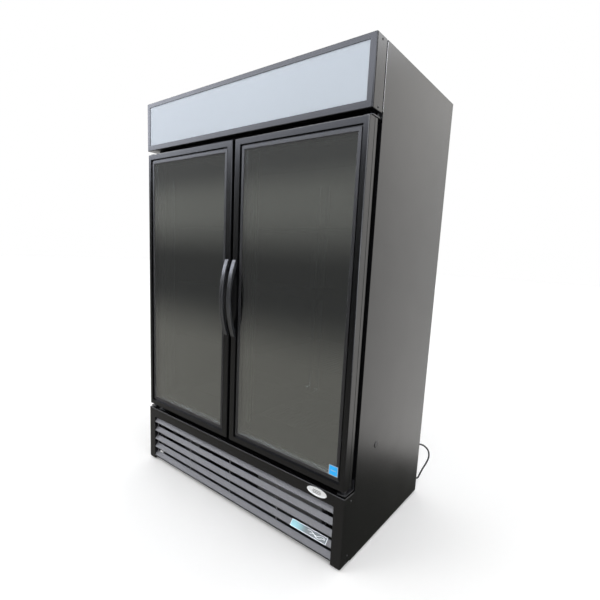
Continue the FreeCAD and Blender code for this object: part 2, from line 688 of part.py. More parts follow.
def door_frame():
    """Four mitred members: outer flat, groove, glazing rebate and hollow core."""
    back = FRONT + DOOR_THICK
    outer = even(0, FRONT, back)
    outer = fillet_where(outer, 3.5, lambda e: abs(e.CenterOfMass.y - FRONT) < 0.01)
    window = stepped(MEMBER_STEP, FRONT - 1, back + 1)
    rebate = stepped(GROOVE, FRONT - 1, FRONT + 27)
    groove = stepped(0, FRONT - 1, FRONT + 9)
    line = even(-1, FRONT + 36, FRONT + 39).cut(even(2.5, FRONT + 35, FRONT + 40))
    core = even(2.5, FRONT + 11, FRONT + 33).cut(stepped(-1.5 + GROOVE, FRONT + 10, FRONT + 34))
    rear_core = even(5, FRONT + 42, FRONT + 52).cut(stepped(MEMBER_STEP - 3, FRONT + 41, FRONT + 53))
    bores = [pin_bore(DOOR_TOP, -1), pin_bore(DOOR_BOTTOM, 1)]
    boss_top = box(PIVOT_X - 11, PIVOT_X + 11, FRONT + 11, FRONT + 33, DOOR_TOP - 30, DOOR_TOP)
    boss_low = box(PIVOT_X - 11, PIVOT_X + 11, FRONT + 11, FRONT + 33, DOOR_BOTTOM, DOOR_BOTTOM + 30)
    core = core.cut([boss_top, boss_low])
    ring = outer.cut([window, rebate, groove, line, core, rear_core] + bores)
    return split_members(ring)


def pin_bore(z, direction):
    start = V(PIVOT_X, PIVOT_Y, z - direction)
    return Part.makeCylinder(PIN_R + PIN_CLEARANCE, 28.0, start, Z_DIR * direction)


def glazing_bead():
    """Snap-in strips that hold the glass; the face slopes towards the pane."""
    y0 = FRONT + BEAD_SETBACK
    cap = stepped(GROOVE, y0, GLASS_FRONT).cut(stepped(MEMBER_STEP, y0 - 1, y0 + 3))
    leg = stepped(GROOVE, GLASS_FRONT, FRONT + 26).cut(stepped(GROOVE + 3.5, GLASS_FRONT - 1, FRONT + 27))
    ring = cap.fuse(leg).removeSplitter()
    ring = fillet_where(ring, 1.2, lambda e: abs(e.CenterOfMass.y - y0) < 0.01
                        and at_offset(e, MEMBER_STEP))
    return split_members(ring)


def at_offset(edge, offset):
    """True for an edge that lies on the given step inside the door's flats."""
    bounds = stepped(offset, FRONT, FRONT + 1).BoundBox
    middle = edge.CenterOfMass
    on_stile = abs(middle.x - bounds.XMin) < 0.01 or abs(middle.x - bounds.XMax) < 0.01
    on_rail = abs(middle.z - bounds.ZMin) < 0.01 or abs(middle.z - bounds.ZMax) < 0.01
    return on_stile or on_rail


def glass_unit():
    edge = GROOVE + 4.0
    rear = GLASS_FRONT + PANE + PANE_GAP
    panes = [stepped(edge, GLASS_FRONT, GLASS_FRONT + PANE), stepped(edge, rear, rear + PANE)]
    spacer = stepped(edge + 3, GLASS_FRONT + PANE, rear).cut(stepped(edge + 12, GLASS_FRONT, rear + 1))
    return panes, spacer


def door_gasket():
    """Magnetic gasket: a base that snaps into the door and a bulb that meets the cabinet."""
    y0 = FRONT + DOOR_THICK
    y1 = CABINET_FRONT - GASKET_CLEARANCE
    bulb = even(GASKET_INSET, y0 + 5, y1)
    bulb = fillet_where(bulb, 3.0, lambda e: abs(e.CenterOfMass.y - y1) < 0.01)
    base_strip = even(GASKET_INSET + 3, y0, y0 + 5)
    inner = even(GASKET_INSET + GASKET_WIDTH, y0 - 1, y1 + 1)
    return bulb.fuse(base_strip).cut(inner)


def handle():
    """Bow strap: two arcs in side view, fluted along its length."""
    middle = (HANDLE_BOTTOM + HANDLE_TOP) / 2
    half = (HANDLE_TOP - HANDLE_BOTTOM) / 2
    end_thick = 7.0
    foot = 30.0
    x0 = HANDLE_X - HANDLE_WIDTH / 2

    def outline(shrink):
        a = V(x0, FRONT, middle - half)
        b = V(x0, FRONT - end_thick + shrink, middle - half)
        c = V(x0, FRONT - HANDLE_REACH + shrink, middle)
        d = V(x0, FRONT - end_thick + shrink, middle + half)
        e = V(x0, FRONT, middle + half)
        f = V(x0, FRONT, middle + half - foot)
        g = V(x0, FRONT - HANDLE_REACH + HANDLE_THICK, middle)
        h = V(x0, FRONT, middle - half + foot)
        edges = [Part.LineSegment(a, b), Part.Arc(b, c, d), Part.LineSegment(d, e)]
        edges += [Part.LineSegment(e, f), Part.Arc(f, g, h), Part.LineSegment(h, a)]
        return Part.Face(Part.Wire([edge.toShape() for edge in edges]))

    strap = outline(0).extrude(V(HANDLE_WIDTH, 0, 0))
    strap = fillet_where(strap, 2.5, is_bow_edge)
    flutes = []
    for offset in (-6.0, -2.0, 2.0, 6.0):
        band = Part.makeBox(2.0, 200, 600, V(HANDLE_X + offset - 1.0, FRONT - 150, middle - 300))
        full = outline(0).extrude(V(HANDLE_WIDTH, 0, 0))
        core = outline(0.7).extrude(V(HANDLE_WIDTH, 0, 0))
        flutes.append(full.cut(core).common(band))
    return strap.cut(flutes)


def is_bow_edge(edge):
    """Long curved edges of the strap's outer face."""
    bounds = edge.BoundBox
    on_outer = bounds.YMin < FRONT - HANDLE_REACH + 2
    return bounds.XLength < 0.01 and bounds.ZLength > 200 and on_outer


def door_badge():
    """Blank square badge at the lower outer corner of the right pane."""
    x0, z0, size = 601.0, BOTTOM + 389.0, 43.0
    face = FRONT + BEAD_SETBACK
    plate = box(x0, x0 + size, face - 1.2, face, z0, z0 + size)
    glass_edge = DOOR_OUTER - HINGE_STILE - MEMBER_STEP
    pad = box(x0 + 1, glass_edge - 0.5, face, GLASS_FRONT, z0 + 1, z0 + size - 1)
    return plate.fuse(pad)


def doors():
    panes, spacer = glass_unit()
    kit = {
        "door_frame": door_frame(),
        "glazing_bead": glazing_bead(),
        "glass": panes,
        "glass_spacer": [spacer],
        "door_gasket": [door_gasket()],
        "handle": [handle()],
    }
    for name, solids in kit.items():
        save("right_" + name, *solids)
        save("left_" + name, *mirrored(solids))
    save("door_badge", door_badge())


def hinge_brackets():
    """Plates on the cabinet face with the pins the doors turn on."""
    plate_x0, plate_x1 = PIVOT_X - 20.0, DOOR_OUTER + 3.0
    leg = 3.0
    top_z = DOOR_TOP + 2.0
    top_plate = box(plate_x0, plate_x1, PIVOT_Y - 14, CABINET_FRONT, top_z, top_z + 4)
    top_plate = fillet_where(top_plate, 8.0, lambda e: runs_along(e, Z_DIR) and e.CenterOfMass.y < PIVOT_Y)
    top_leg = box(plate_x0, plate_x1, CABINET_FRONT - leg, CABINET_FRONT, top_z + 4, top_z + 50)
    top = top_plate.fuse(top_leg)
    top_pin = Part.makeCylinder(PIN_R, 26.0, V(PIVOT_X, PIVOT_Y, DOOR_TOP - 24))
    low_z = DOOR_BOTTOM - 20.0
    low_plate = box(plate_x0, plate_x1, FRONT + 7, CABINET_FRONT, low_z, low_z + 5)
    low_plate = fillet_where(low_plate, 6.0, lambda e: runs_along(e, Z_DIR) and e.CenterOfMass.y < PIVOT_Y)
    low_leg = box(plate_x0, plate_x1, CABINET_FRONT - leg, CABINET_FRONT, low_z + 5, low_z + 9)
    low_leg = low_leg.fuse(box(DOOR_OUTER - GASKET_INSET + 2, plate_x1, CABINET_FRONT - leg, CABINET_FRONT,
                               low_z + 9, low_z + 44))
    collar = Part.makeCylinder(10.0, 14.7, V(PIVOT_X, PIVOT_Y, low_z + 5))
    low_pin = Part.makeCylinder(PIN_R, 38.0, V(PIVOT_X, PIVOT_Y, low_z + 5))
    low = low_plate.fuse([low_leg, collar, low_pin])
    save("hinge_brackets", *both_sides([top.fuse(top_pin), low]))


# ---- Machine compartment --------------------------------------------------
def unit_tray():
    y0, y1 = CABINET_FRONT + 4, BACK - 50
    tray = box(-TRAY_HALF, TRAY_HALF, y0, y1, TRAY_Z, TRAY_TOP)
    lips = both_sides([box(TRAY_HALF - 1, TRAY_HALF + 1, y0, y1, TRAY_Z, TRAY_TOP + 18)])
    save("unit_tray", tray.fuse(lips))


def condenser():
    """Finned block, its shroud and the fan that draws air through it."""
    z0 = TRAY_TOP
    plate_x = (COIL_X0 + 12, COIL_X1 - 12)
    block = box(*plate_x, COIL_Y0, COIL_Y0 + COIL_DEPTH, z0 + 2, z0 + 232)
    plates = []
    for x in plate_x:
        plates.append(box(x - 1, x + 1, COIL_Y0 - 2, COIL_Y0 + COIL_DEPTH + 2, z0, z0 + 234))
    bends = []
    for i in range(6):
        z = z0 + 22 + i * 38
        for y in (COIL_Y0 + 14, COIL_Y0 + 33):
            bends.append(rod(V(COIL_X0, y, z), V(COIL_X1, y, z), 5.0))
    save("condenser_coil", block.fuse(plates + bends))

    y = SHROUD_Y
    x0, x1 = COIL_X0 + 14, COIL_X1 - 14
    shroud = box(x0, x1, y, y + 2, z0, z0 + 234)
    collar = Part.makeCylinder(COND_FAN_R + 6, 20, V(COND_FAN_X, y, COND_FAN_Z), Y_DIR)
    throat = Part.makeCylinder(COND_FAN_R + 4, 60, V(COND_FAN_X, y - 20, COND_FAN_Z), Y_DIR)
    ledge = box(x0, x1, y, y + 40, z0, z0 + 2)
    save("fan_shroud", shroud.fuse([collar, ledge]).cut(throat))
    wheel = fan_wheel(V(COND_FAN_X, COND_FAN_Y, COND_FAN_Z), COND_FAN_R, 24.0, 5, 22.0)
    save("condenser_fan", wheel)


def fan_motors():
    """The condenser fan's motor on its stand, and the two evaporator motors on straps."""
    y = COND_FAN_Y
    large = motor(V(COND_FAN_X, y + 22, COND_FAN_Z), 44.0, 76.0, y - 8)
    stand = box(COND_FAN_X - 30, COND_FAN_X + 30, y + 48, y + 78, TRAY_TOP, COND_FAN_Z - 40)
    small = motor(V(EVAP_FAN_X, EVAP_FRONT + 44, EVAP_FAN_Z), 30.0, 60.0, EVAP_FRONT + 18)
    strap_x0, strap_x1 = EVAP_FAN_X - 12, EVAP_FAN_X + 12
    strap_y0, strap_y1 = EVAP_FRONT + 60, EVAP_FRONT + 90
    strap = box(strap_x0, strap_x1, strap_y0, strap_y1, EVAP_BOTTOM + 1.2, EVAP_FAN_Z - 20)
    save("fan_motors", large.fuse(stand), *both_sides([small.fuse(strap)]))


def compressor():
    centre = COMPRESSOR_CENTRE
    shell = Part.makeCylinder(SHELL_R, SHELL_HEIGHT, centre)
    shell = fillet_where(shell, 40.0, lambda e: e.BoundBox.ZLength < 0.01)
    seam = Part.makeCylinder(SHELL_R + 3, 5.0, centre + V(0, 0, SHELL_HEIGHT * 0.55))
    x, y, z = centre.x, centre.y, centre.z
    mount_plate = box(x - 110, x + 110, y - 90, y + 90, z - 4, z)
    pads = []
    for dx in (-92, 92):
        for dy in (-72, 72):
            pads.append(Part.makeCylinder(14.0, 10.0, centre + V(dx, dy, -14)))
    relay_cover = box(x - 34, x + 34, y - SHELL_R - 32, y - SHELL_R + 20, z + 46, z + 116)
    hollow = Part.makeCylinder(74.0, 150.0, centre + V(0, 0, -10))
    save("compressor", shell.fuse([seam, mount_plate, relay_cover] + pads).cut(hollow))


def control_box():
    """Thermostat box, and the dial that turns on its shaft."""
    face = CABINET_FRONT + 40
    case = box(DIAL_X - 70, DIAL_X + 70, face, face + 90, TRAY_TOP, TRAY_TOP + 150)
    case = fillet_where(case, 3.0, lambda e: runs_along(e, Z_DIR))
    dial_hole = Part.makeCylinder(3.6, 30, V(DIAL_X, face - 10, DIAL_Z), Y_DIR)
    save("electrical_box", case.cut(dial_hole))
    dial = Part.makeCylinder(17.0, 12.0, V(DIAL_X, face - 12.3, DIAL_Z), Y_DIR)
    dial = fillet_where(dial, 1.5, lambda e: e.BoundBox.YLength < 0.01)
    grip = box(DIAL_X - 2.5, DIAL_X + 2.5, face - 20, face - 10, DIAL_Z - 15, DIAL_Z + 15)
    shaft = Part.makeCylinder(3.55, 12.0, V(DIAL_X, face - 1, DIAL_Z), Y_DIR)
    save("thermostat_dial", dial.fuse([grip, shaft]))


def refrigerant_lines():
    """Discharge line to the condenser, suction line up through the deck."""
    z0 = TRAY_TOP
    shell_x = COMPRESSOR_CENTRE.x + SHELL_R
    discharge = [
        V(shell_x + 0.1, 120, z0 + 139),
        V(shell_x + 22, 120, z0 + 139),
        V(-40, 96, z0 + 150),
        V(-12, 30, z0 + 172),
        V(20, -50, z0 + 196),
        V(52, -130, z0 + 206),
        V(72, -186, z0 + 208),
        V(COIL_X0 - 22, COIL_Y0 + 33, z0 + 212),
        V(COIL_X0 - 0.1, COIL_Y0 + 33, z0 + 212),
    ]
    shell_x = COMPRESSOR_CENTRE.x - SHELL_R
    suction = [
        V(shell_x - 0.1, 120, z0 + 149),
        V(shell_x - 26, 120, z0 + 149),
        V(-340, 140, z0 + 160),
        V(-352, 180, z0 + 190),
        V(-352, 206, z0 + 226),
        V(-352, 206, DECK),
    ]
    save("refrigerant_lines", tube(discharge, 4.5), tube(suction, 6.5))


def rear_grille():
    """Slotted cover over the back of the machine compartment."""
    edge = SIDE - SHEET
    z0, z1 = BOTTOM + BASE_RAIL, DECK
    holes = []
    for row in range(5):
        for column in range(14):
            x = -560 + column * 78.0
            z = z0 + 46 + row * 36
            holes.append((x, x + 58, z, z + 8))
    y = REAR_GRILLE_Y
    sheet = perforated((-edge, edge, y, z0, z1), holes, SHEET)
    gland_hole = Part.makeCylinder(9.0, 20, V(CORD_EXIT.x, y - 10, CORD_EXIT.z), Y_DIR)
    save("rear_grille", sheet.cut(gland_hole))


# ---- Mains cord -----------------------------------------------------------
def cord_points():
    """Hand-chosen route: back out of the gland, a slack bight past the corner, down to the floor."""
    return [
        CORD_EXIT,
        V(648, BACK + 74, 238),
        V(671, BACK + 106, 228),
        V(700, BACK + 118, 202),
        V(709, BACK + 112, 164),
        V(699, BACK + 98, 128),
        V(684, BACK + 88, 90),
        V(672, BACK + 87, 53),
        V(660, BACK + 98, 22),
        V(632, BACK + 117, CORD_R),
        V(598, BACK + 136, CORD_R),
        V(COIL_CENTRE.x, COIL_CENTRE.y + COIL_OUTER_TURN, CORD_R),
    ]


def cord():
    y = REAR_GRILLE_Y + SHEET
    x, z = CORD_EXIT.x, CORD_EXIT.z
    flange = Part.makeCylinder(14.0, 6.0, V(x, y, z), Y_DIR)
    flange = fillet_where(flange, 1.2, lambda e: e.BoundBox.YLength < 0.01 and e.BoundBox.YMax > BACK)
    barrel = Part.makeCylinder(8.9, 14.0, V(x, y - 9.0, z), Y_DIR)
    taper_length = CORD_EXIT.y - y - 6.0
    taper = Part.makeCone(9.0, CORD_R + 1.3, taper_length, V(x, y + 6.0, z), Y_DIR)
    save("cord_gland", flange.fuse([barrel, taper]))

    points = cord_points()
    lead = tube(points, CORD_R, "power_cord")
    tail_points = tail_route()
    tail = tube(tail_points, CORD_R, "cord_tail")
    save("power_cord", lead, tail)

    ring_inner = COIL_INNER_TURN - CORD_R
    ring_outer = COIL_OUTER_TURN + CORD_R
    height = 2 * CORD_R * COIL_LAYERS
    disc = Part.makeCylinder(ring_outer, height, COIL_CENTRE)
    save("cord_coil", disc.cut(Part.makeCylinder(ring_inner, height, COIL_CENTRE)))

    plug_start = tail_points[-1]
    body_profile = [(0.0, 6.0, 6.5), (14.0, 8.0, 8.0), (20.0, 15.5, 12.5), (PLUG_LENGTH, 16.5, 13.0)]
    outlines = []
    for forward, half_y, half_z in body_profile:
        corners = []
        for i in range(12):
            angle = 2 * math.pi * i / 12
            offset = V(-forward, half_y * math.cos(angle), half_z * math.sin(angle))
            corners.append(plug_start + offset)
        outlines.append(Part.makePolygon(corners + [corners[0]]))
    body = Part.makeLoft(outlines, True, True)
    x, y, z = plug_start.x - PLUG_LENGTH, plug_start.y, plug_start.z
    blades = []
    for dy in (-6.35, 6.35):
        blades.append(box(x - 17, x + 2, y + dy - 0.75, y + dy + 0.75, z - 3.2, z + 3.2))
    earth_pin = rod(V(x + 2, y, z + 8.5), V(x - 20, y, z + 8.5), 2.4)
    save("power_plug", body.fuse(blades + [earth_pin]))


def tail_route():
    """From the coil's upper outer turn down towards the floor, and up to the plug's neck."""
    return [
        V(COIL_CENTRE.x, COIL_CENTRE.y + COIL_OUTER_TURN, 3 * CORD_R),
        V(524, BACK + 139, 12),
        V(490, BACK + 126, 8),
        V(458, BACK + 105, 7),
        V(428, BACK + 86, 10),
        V(396, BACK + 76, PLUG_Z),
    ]


# ---- Everything -----------------------------------------------------------
def main():
    os.makedirs(OUT, exist_ok=True)
    outer_panels()
    insulation()
    inner_liner()
    face_frame()
    base()
    feet()
    side_plugs()
    shelf_pilasters()
    shelf_clips()
    shelves()
    evaporator()
    lamps()
    header()
    fascia_screws()
    grille()
    badges()
    doors()
    hinge_brackets()
    unit_tray()
    condenser()
    fan_motors()
    compressor()
    control_box()
    refrigerant_lines()
    rear_grille()
    cord()


main()
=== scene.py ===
"""Looks of the two-door glass merchandiser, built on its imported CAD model."""
import bmesh
import bpy
import json
import math
from mathutils import Matrix, Vector


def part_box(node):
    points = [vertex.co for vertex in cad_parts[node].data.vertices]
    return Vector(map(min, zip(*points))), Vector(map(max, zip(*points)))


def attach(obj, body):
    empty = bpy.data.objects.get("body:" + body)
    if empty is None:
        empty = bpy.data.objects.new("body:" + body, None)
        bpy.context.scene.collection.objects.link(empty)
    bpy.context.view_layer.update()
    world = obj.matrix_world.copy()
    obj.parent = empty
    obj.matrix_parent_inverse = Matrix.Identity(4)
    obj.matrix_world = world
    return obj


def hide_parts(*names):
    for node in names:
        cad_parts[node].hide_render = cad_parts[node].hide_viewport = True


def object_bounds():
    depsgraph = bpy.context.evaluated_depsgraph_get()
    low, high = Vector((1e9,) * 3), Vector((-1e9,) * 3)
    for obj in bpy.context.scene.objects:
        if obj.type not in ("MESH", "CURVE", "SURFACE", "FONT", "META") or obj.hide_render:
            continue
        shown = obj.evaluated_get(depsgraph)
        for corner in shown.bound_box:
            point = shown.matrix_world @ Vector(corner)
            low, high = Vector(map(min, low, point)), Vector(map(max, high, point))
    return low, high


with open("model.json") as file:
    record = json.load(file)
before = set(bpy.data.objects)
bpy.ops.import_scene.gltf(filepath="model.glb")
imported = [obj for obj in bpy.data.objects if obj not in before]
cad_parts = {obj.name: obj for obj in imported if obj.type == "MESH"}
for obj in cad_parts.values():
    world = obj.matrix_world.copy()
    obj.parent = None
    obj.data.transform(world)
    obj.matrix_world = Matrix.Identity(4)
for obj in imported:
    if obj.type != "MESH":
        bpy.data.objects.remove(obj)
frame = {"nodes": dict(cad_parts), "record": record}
CAD_LOW, CAD_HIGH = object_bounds()
NODES = frame["nodes"]
RECORD = frame["record"]

X_DIR, Y_DIR, Z_DIR = Vector((1, 0, 0)), Vector((0, 1, 0)), Vector((0, 0, 1))


def box(node):
    """Lowest and highest corner of a CAD node."""
    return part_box(node)


# ---- Camera ---------------------------------------------------------------
CAMERA_PLACE = Vector((1.41537, -1.61985, 1.27180))
CAMERA_RIGHT = Vector((0.79120032, 0.60943592, 0.05089129))
CAMERA_DOWN = Vector((0.13293202, -0.0901577, -0.98701604))
CAMERA_AHEAD = Vector((-0.59693478, 0.78769249, -0.15234635))
CAMERA_LENS = 24.05
CAMERA_SHIFT = (-0.0140, 0.0243)


def make_camera():
    data = bpy.data.cameras.new("camera")
    data.sensor_width = 36.0
    data.lens = CAMERA_LENS
    data.shift_x, data.shift_y = CAMERA_SHIFT
    data.clip_start = 0.05
    camera = bpy.data.objects.new("camera", data)
    bpy.context.scene.collection.objects.link(camera)
    turn = Matrix((CAMERA_RIGHT, -CAMERA_DOWN, -CAMERA_AHEAD)).transposed().to_4x4()
    camera.matrix_world = Matrix.Translation(CAMERA_PLACE) @ turn
    bpy.context.scene.camera = camera


# ---- Meshes ---------------------------------------------------------------
def add_object(name, data, body, slot):
    """Puts a finished mesh or curve on a body and gives it the finish of a slot."""
    piece = bpy.data.objects.new(name, data)
    bpy.context.scene.collection.objects.link(piece)
    data.materials.append(FINISHES[slot])
    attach(piece, body)
    return piece


def mesh_from(name, build):
    """Mesh made by a function that fills a bmesh."""
    mesh = bpy.data.meshes.new(name)
    form = bmesh.new()
    build(form)
    bmesh.ops.recalc_face_normals(form, faces=form.faces)
    form.to_mesh(mesh)
    form.free()
    return mesh


def add_box(form, low, high):
    size = high - low
    place = Matrix.Translation((low + high) / 2) @ Matrix.Diagonal((*size, 1))
    bmesh.ops.create_cube(form, size=1, matrix=place)


def facing(direction):
    """Turn that takes +Z to a direction."""
    return direction.to_track_quat("Z", "Y").to_matrix().to_4x4()


def lathe(form, profile, place, turn, steps=24):
    """Surface of revolution; the profile is a list of (radius, height)."""
    rings = []
    for radius, height in profile:
        ring = []
        for i in range(steps):
            angle = 2 * math.pi * i / steps
            spot = Vector((radius * math.cos(angle), radius * math.sin(angle), height))
            ring.append(form.verts.new(place + turn @ spot))
        rings.append(ring)
    for lower, upper in zip(rings, rings[1:]):
        for i in range(steps):
            j = (i + 1) % steps
            form.faces.new((lower[i], lower[j], upper[j], upper[i]))
    form.faces.new(rings[0][::-1])
    form.faces.new(rings[-1])


def screw_heads(name, places, direction, radius, body, slot):
    """Pan heads with a cross recess, standing on a face."""
    turn = facing(direction)
    height = 0.42 * radius
    profile = [(radius, 0.0), (radius, 0.35 * height), (0.86 * radius, 0.75 * height)]
    profile += [(0.55 * radius, height), (0.5 * radius, 0.8 * height)]

    def build(form):
        for spot in places:
            lathe(form, profile, spot, turn, 16)
            for quarter in (0, 1):
                spin = Matrix.Rotation(quarter * math.pi / 2, 4, "Z")
                bar = Matrix.Translation(spot) @ turn @ spin
                size = Matrix.Diagonal((0.9 * radius, 0.16 * radius, 0.1 * radius, 1))
                lift = Matrix.Translation((0, 0, 0.82 * height))
                bmesh.ops.create_cube(form, size=1, matrix=bar @ lift @ size)

    return add_object(name, mesh_from(name, build), body, slot)


def line_curve(name, lines, radius, body, slot, closed=False):
    """Round wires through lists of points."""
    data = bpy.data.curves.new(name, "CURVE")
    data.dimensions = "3D"
    data.bevel_depth = radius
    data.bevel_resolution = 3
    for line in lines:
        spline = data.splines.new("POLY")
        spline.points.add(len(line) - 1)
        for point, spot in zip(spline.points, line):
            point.co = (*spot, 1)
        spline.use_cyclic_u = closed
    return add_object(name, data, body, slot)


# ---- Materials ------------------------------------------------------------
def link(tree, source, target):
    tree.links.new(source, target)


def add_node(tree, kind, **settings):
    made = tree.nodes.new(kind)
    for key, value in settings.items():
        if key in made.inputs:
            made.inputs[key].default_value = value
        else:
            setattr(made, key, value)
    return made


def maths(tree, operation, first, second=0.0, clamp=False):
    """One sum on numbers or on sockets; gives the socket of its result."""
    made = add_node(tree, "ShaderNodeMath", operation=operation, use_clamp=clamp)
    for slot, value in zip(made.inputs, (first, second)):
        if isinstance(value, bpy.types.NodeSocket):
            link(tree, value, slot)
        else:
            slot.default_value = value
    return made.outputs[0]


def position(tree, stretch=(1, 1, 1)):
    """The point on the object, in metres, stretched along its axes."""
    place = add_node(tree, "ShaderNodeTexCoord")
    scaled = add_node(tree, "ShaderNodeMapping", Scale=stretch)
    link(tree, place.outputs["Object"], scaled.inputs["Vector"])
    return scaled.outputs["Vector"]


def cloud(tree, size, stretch=(1, 1, 1), detail=3.0):
    """Noise from 0 to 1 with blobs of about a size in metres."""
    made = add_node(tree, "ShaderNodeTexNoise", Scale=1.0 / size, Detail=detail)
    link(tree, position(tree, stretch), made.inputs["Vector"])
    return made.outputs["Fac"]


def stripes(tree, pitch, axis):
    """Fine ribs across an axis."""
    made = add_node(tree, "ShaderNodeTexWave", wave_type="BANDS", bands_direction=axis)
    made.inputs["Scale"].default_value = math.pi / (10 * pitch)
    link(tree, position(tree), made.inputs["Vector"])
    return made.outputs["Fac"]


def cells(tree, size, feature="F1"):
    made = add_node(tree, "ShaderNodeTexVoronoi", Scale=1.0 / size, feature=feature)
    link(tree, position(tree), made.inputs["Vector"])
    return made


def blended(tree, share, first, second):
    """Colour from the first to the second as share goes from 0 to 1."""
    made = add_node(tree, "ShaderNodeMix", data_type="RGBA")
    link(tree, share, made.inputs["Factor"])
    for slot, value in (("A", first), ("B", second)):
        socket = next(s for s in made.inputs if s.name == slot and s.type == "RGBA")
        if isinstance(value, bpy.types.NodeSocket):
            link(tree, value, socket)
        else:
            socket.default_value = (*value, 1)
    return next(s for s in made.outputs if s.type == "RGBA")


def spread(tree, share, low, high):
    made = add_node(tree, "ShaderNodeMapRange")
    link(tree, share, made.inputs["Value"])
    made.inputs["To Min"].default_value = low
    made.inputs["To Max"].default_value = high
    return made.outputs["Result"]


def shades(colour, change):
    """A darker and a lighter version of a colour."""
    return [tuple(min(1.0, c * k) for c in colour) for k in (1 - change, 1 + change)]


class Finish:
    """A Principled material whose colour, roughness and relief come from noise."""

    def __init__(self, name, colour, change=0.12, blot=0.12, rough=(0.3, 0.45), smear=0.09,
                 **sockets):
        self.material = bpy.data.materials.new(name)
        self.material.use_nodes = True
        self.tree = self.material.node_tree
        self.shader = self.tree.nodes["Principled BSDF"]
        dark, light = shades(colour, change)
        self.colour = blended(self.tree, cloud(self.tree, blot), dark, light)
        self.height = None
        roughness = spread(self.tree, cloud(self.tree, smear), *rough)
        link(self.tree, roughness, self.shader.inputs["Roughness"])
        for key, value in sockets.items():
            self.shader.inputs[key.replace("_", " ")].default_value = value

    def tint(self, share, colour):
        """Covers part of the surface with another colour."""
        self.colour = blended(self.tree, share, self.colour, colour)
        return self

    def relief(self, height, strength, depth):
        bump = add_node(self.tree, "ShaderNodeBump", Strength=strength, Distance=depth)
        link(self.tree, height, bump.inputs["Height"])
        if self.height is not None:
            link(self.tree, self.height, bump.inputs["Normal"])
        self.height = bump.outputs["Normal"]
        return self

    def done(self):
        link(self.tree, self.colour, self.shader.inputs["Base Color"])
        if self.height is not None:
            link(self.tree, self.height, self.shader.inputs["Normal"])
        return self.material


def gloss_paint():
    made = Finish("gloss_black_paint", (0.004, 0.004, 0.0044), 0.15, rough=(0.17, 0.25), IOR=1.4)
    made.relief(cloud(made.tree, 0.0035, detail=1.0), 0.05, 0.0004)
    made.relief(cloud(made.tree, 0.35, detail=1.0), 0.10, 0.002)
    return made.done()


def door_paint():
    made = Finish("satin_black_door", (0.0025, 0.0025, 0.003), 0.15, rough=(0.17, 0.24), IOR=1.4)
    made.relief(cloud(made.tree, 0.0012, (1, 1, 0.05), 2.0), 0.04, 0.0002)
    return made.done()


def galvanised():
    made = Finish("galvanised_steel", (0.5, 0.51, 0.53), 0.08, rough=(0.36, 0.5), Metallic=0.9)
    crystals = cells(made.tree, 0.012)
    made.tint(spread(made.tree, crystals.outputs["Color"], 0.0, 0.35), (0.36, 0.375, 0.4))
    made.relief(crystals.outputs["Distance"], 0.05, 0.0004)
    return made.done()


def foam():
    made = Finish("rigid_foam", (0.72, 0.58, 0.3), 0.12, rough=(0.85, 0.95))
    made.relief(cells(made.tree, 0.002).outputs["Distance"], 0.5, 0.0008)
    return made.done()


def white_liner():
    made = Finish("white_liner", (0.74, 0.75, 0.76), 0.03, rough=(0.32, 0.42))
    made.relief(cells(made.tree, 0.009, "SMOOTH_F1").outputs["Distance"], 0.18, 0.0007)
    return made.done()


def moulded(name, colour, rough=(0.4, 0.5), grain=0.0009, **sockets):
    """Moulded plastic or rubber with a fine leathery grain."""
    made = Finish(name, colour, 0.1, rough=rough, **sockets)
    made.relief(cloud(made.tree, grain, detail=2.0), 0.15, 0.0002)
    return made.done()


def zinc():
    made = Finish("zinc_plated_steel", (0.58, 0.59, 0.61), 0.1, rough=(0.26, 0.4), Metallic=1.0)
    made.relief(cloud(made.tree, 0.001, (1, 1, 0.04)), 0.08, 0.0002)
    return made.done()


def wire_coating():
    made = Finish("white_wire_coating", (0.78, 0.79, 0.8), 0.05, 0.03, rough=(0.28, 0.4))
    made.relief(cloud(made.tree, 0.002), 0.2, 0.0003)
    return made.done()


def fins():
    # The low base colour and the dark stripes between the ribs are painted shade: the fins seen
    # edge-on, in shadow, through the grille gaps.
    made = Finish("aluminium_fins_painted_shade", (0.24, 0.245, 0.25), 0.1, rough=(0.45, 0.6), Metallic=0.7)
    ribs = stripes(made.tree, 0.0024, "X")
    made.tint(spread(made.tree, ribs, 0.75, 0.0), (0.07, 0.07, 0.075))
    made.relief(ribs, 0.6, 0.0015)
    return made.done()


def enamel(name):
    made = Finish(name, (0.014, 0.014, 0.016), 0.2, rough=(0.3, 0.42))
    made.relief(cloud(made.tree, 0.003), 0.08, 0.0004)
    return made.done()


def spun_metal():
    made = Finish("spun_aluminium", (0.62, 0.63, 0.65), 0.08, rough=(0.3, 0.4), Metallic=1.0)
    made.relief(cloud(made.tree, 0.001, (1, 0.1, 1)), 0.08, 0.0002)
    return made.done()


def diffuser():
    made = Finish("lamp_diffuser", (0.84, 0.86, 0.88), 0.03, rough=(0.4, 0.5),
                  Subsurface_Weight=0.1)
    made.relief(stripes(made.tree, 0.003, "Z"), 0.15, 0.0004)
    return made.done()


def sign():
    made = Finish("sign_acrylic", (0.385, 0.425, 0.47), 0.02, 0.4, rough=(0.45, 0.52), smear=0.3)
    made.relief(cloud(made.tree, 0.004), 0.02, 0.0002)
    return made.done()


def louver():
    """Grey plastic with fine ribs along each slat."""
    made = Finish("grey_louver_plastic", (0.108, 0.108, 0.114), 0.08, 0.2, rough=(0.42, 0.55))
    hatch = cloud(made.tree, 0.0022, (0.06, 1, 1), 2.0)
    made.tint(spread(made.tree, hatch, 0.0, 0.35), (0.07, 0.07, 0.075))
    made.relief(hatch, 0.3, 0.0005)
    return made.done()


def brushed(name, colour, stretch, metal=0.85):
    made = Finish(name, colour, 0.08, 0.05, rough=(0.25, 0.36), Metallic=metal)
    made.relief(cloud(made.tree, 0.0008, stretch), 0.1, 0.0001)
    return made.done()


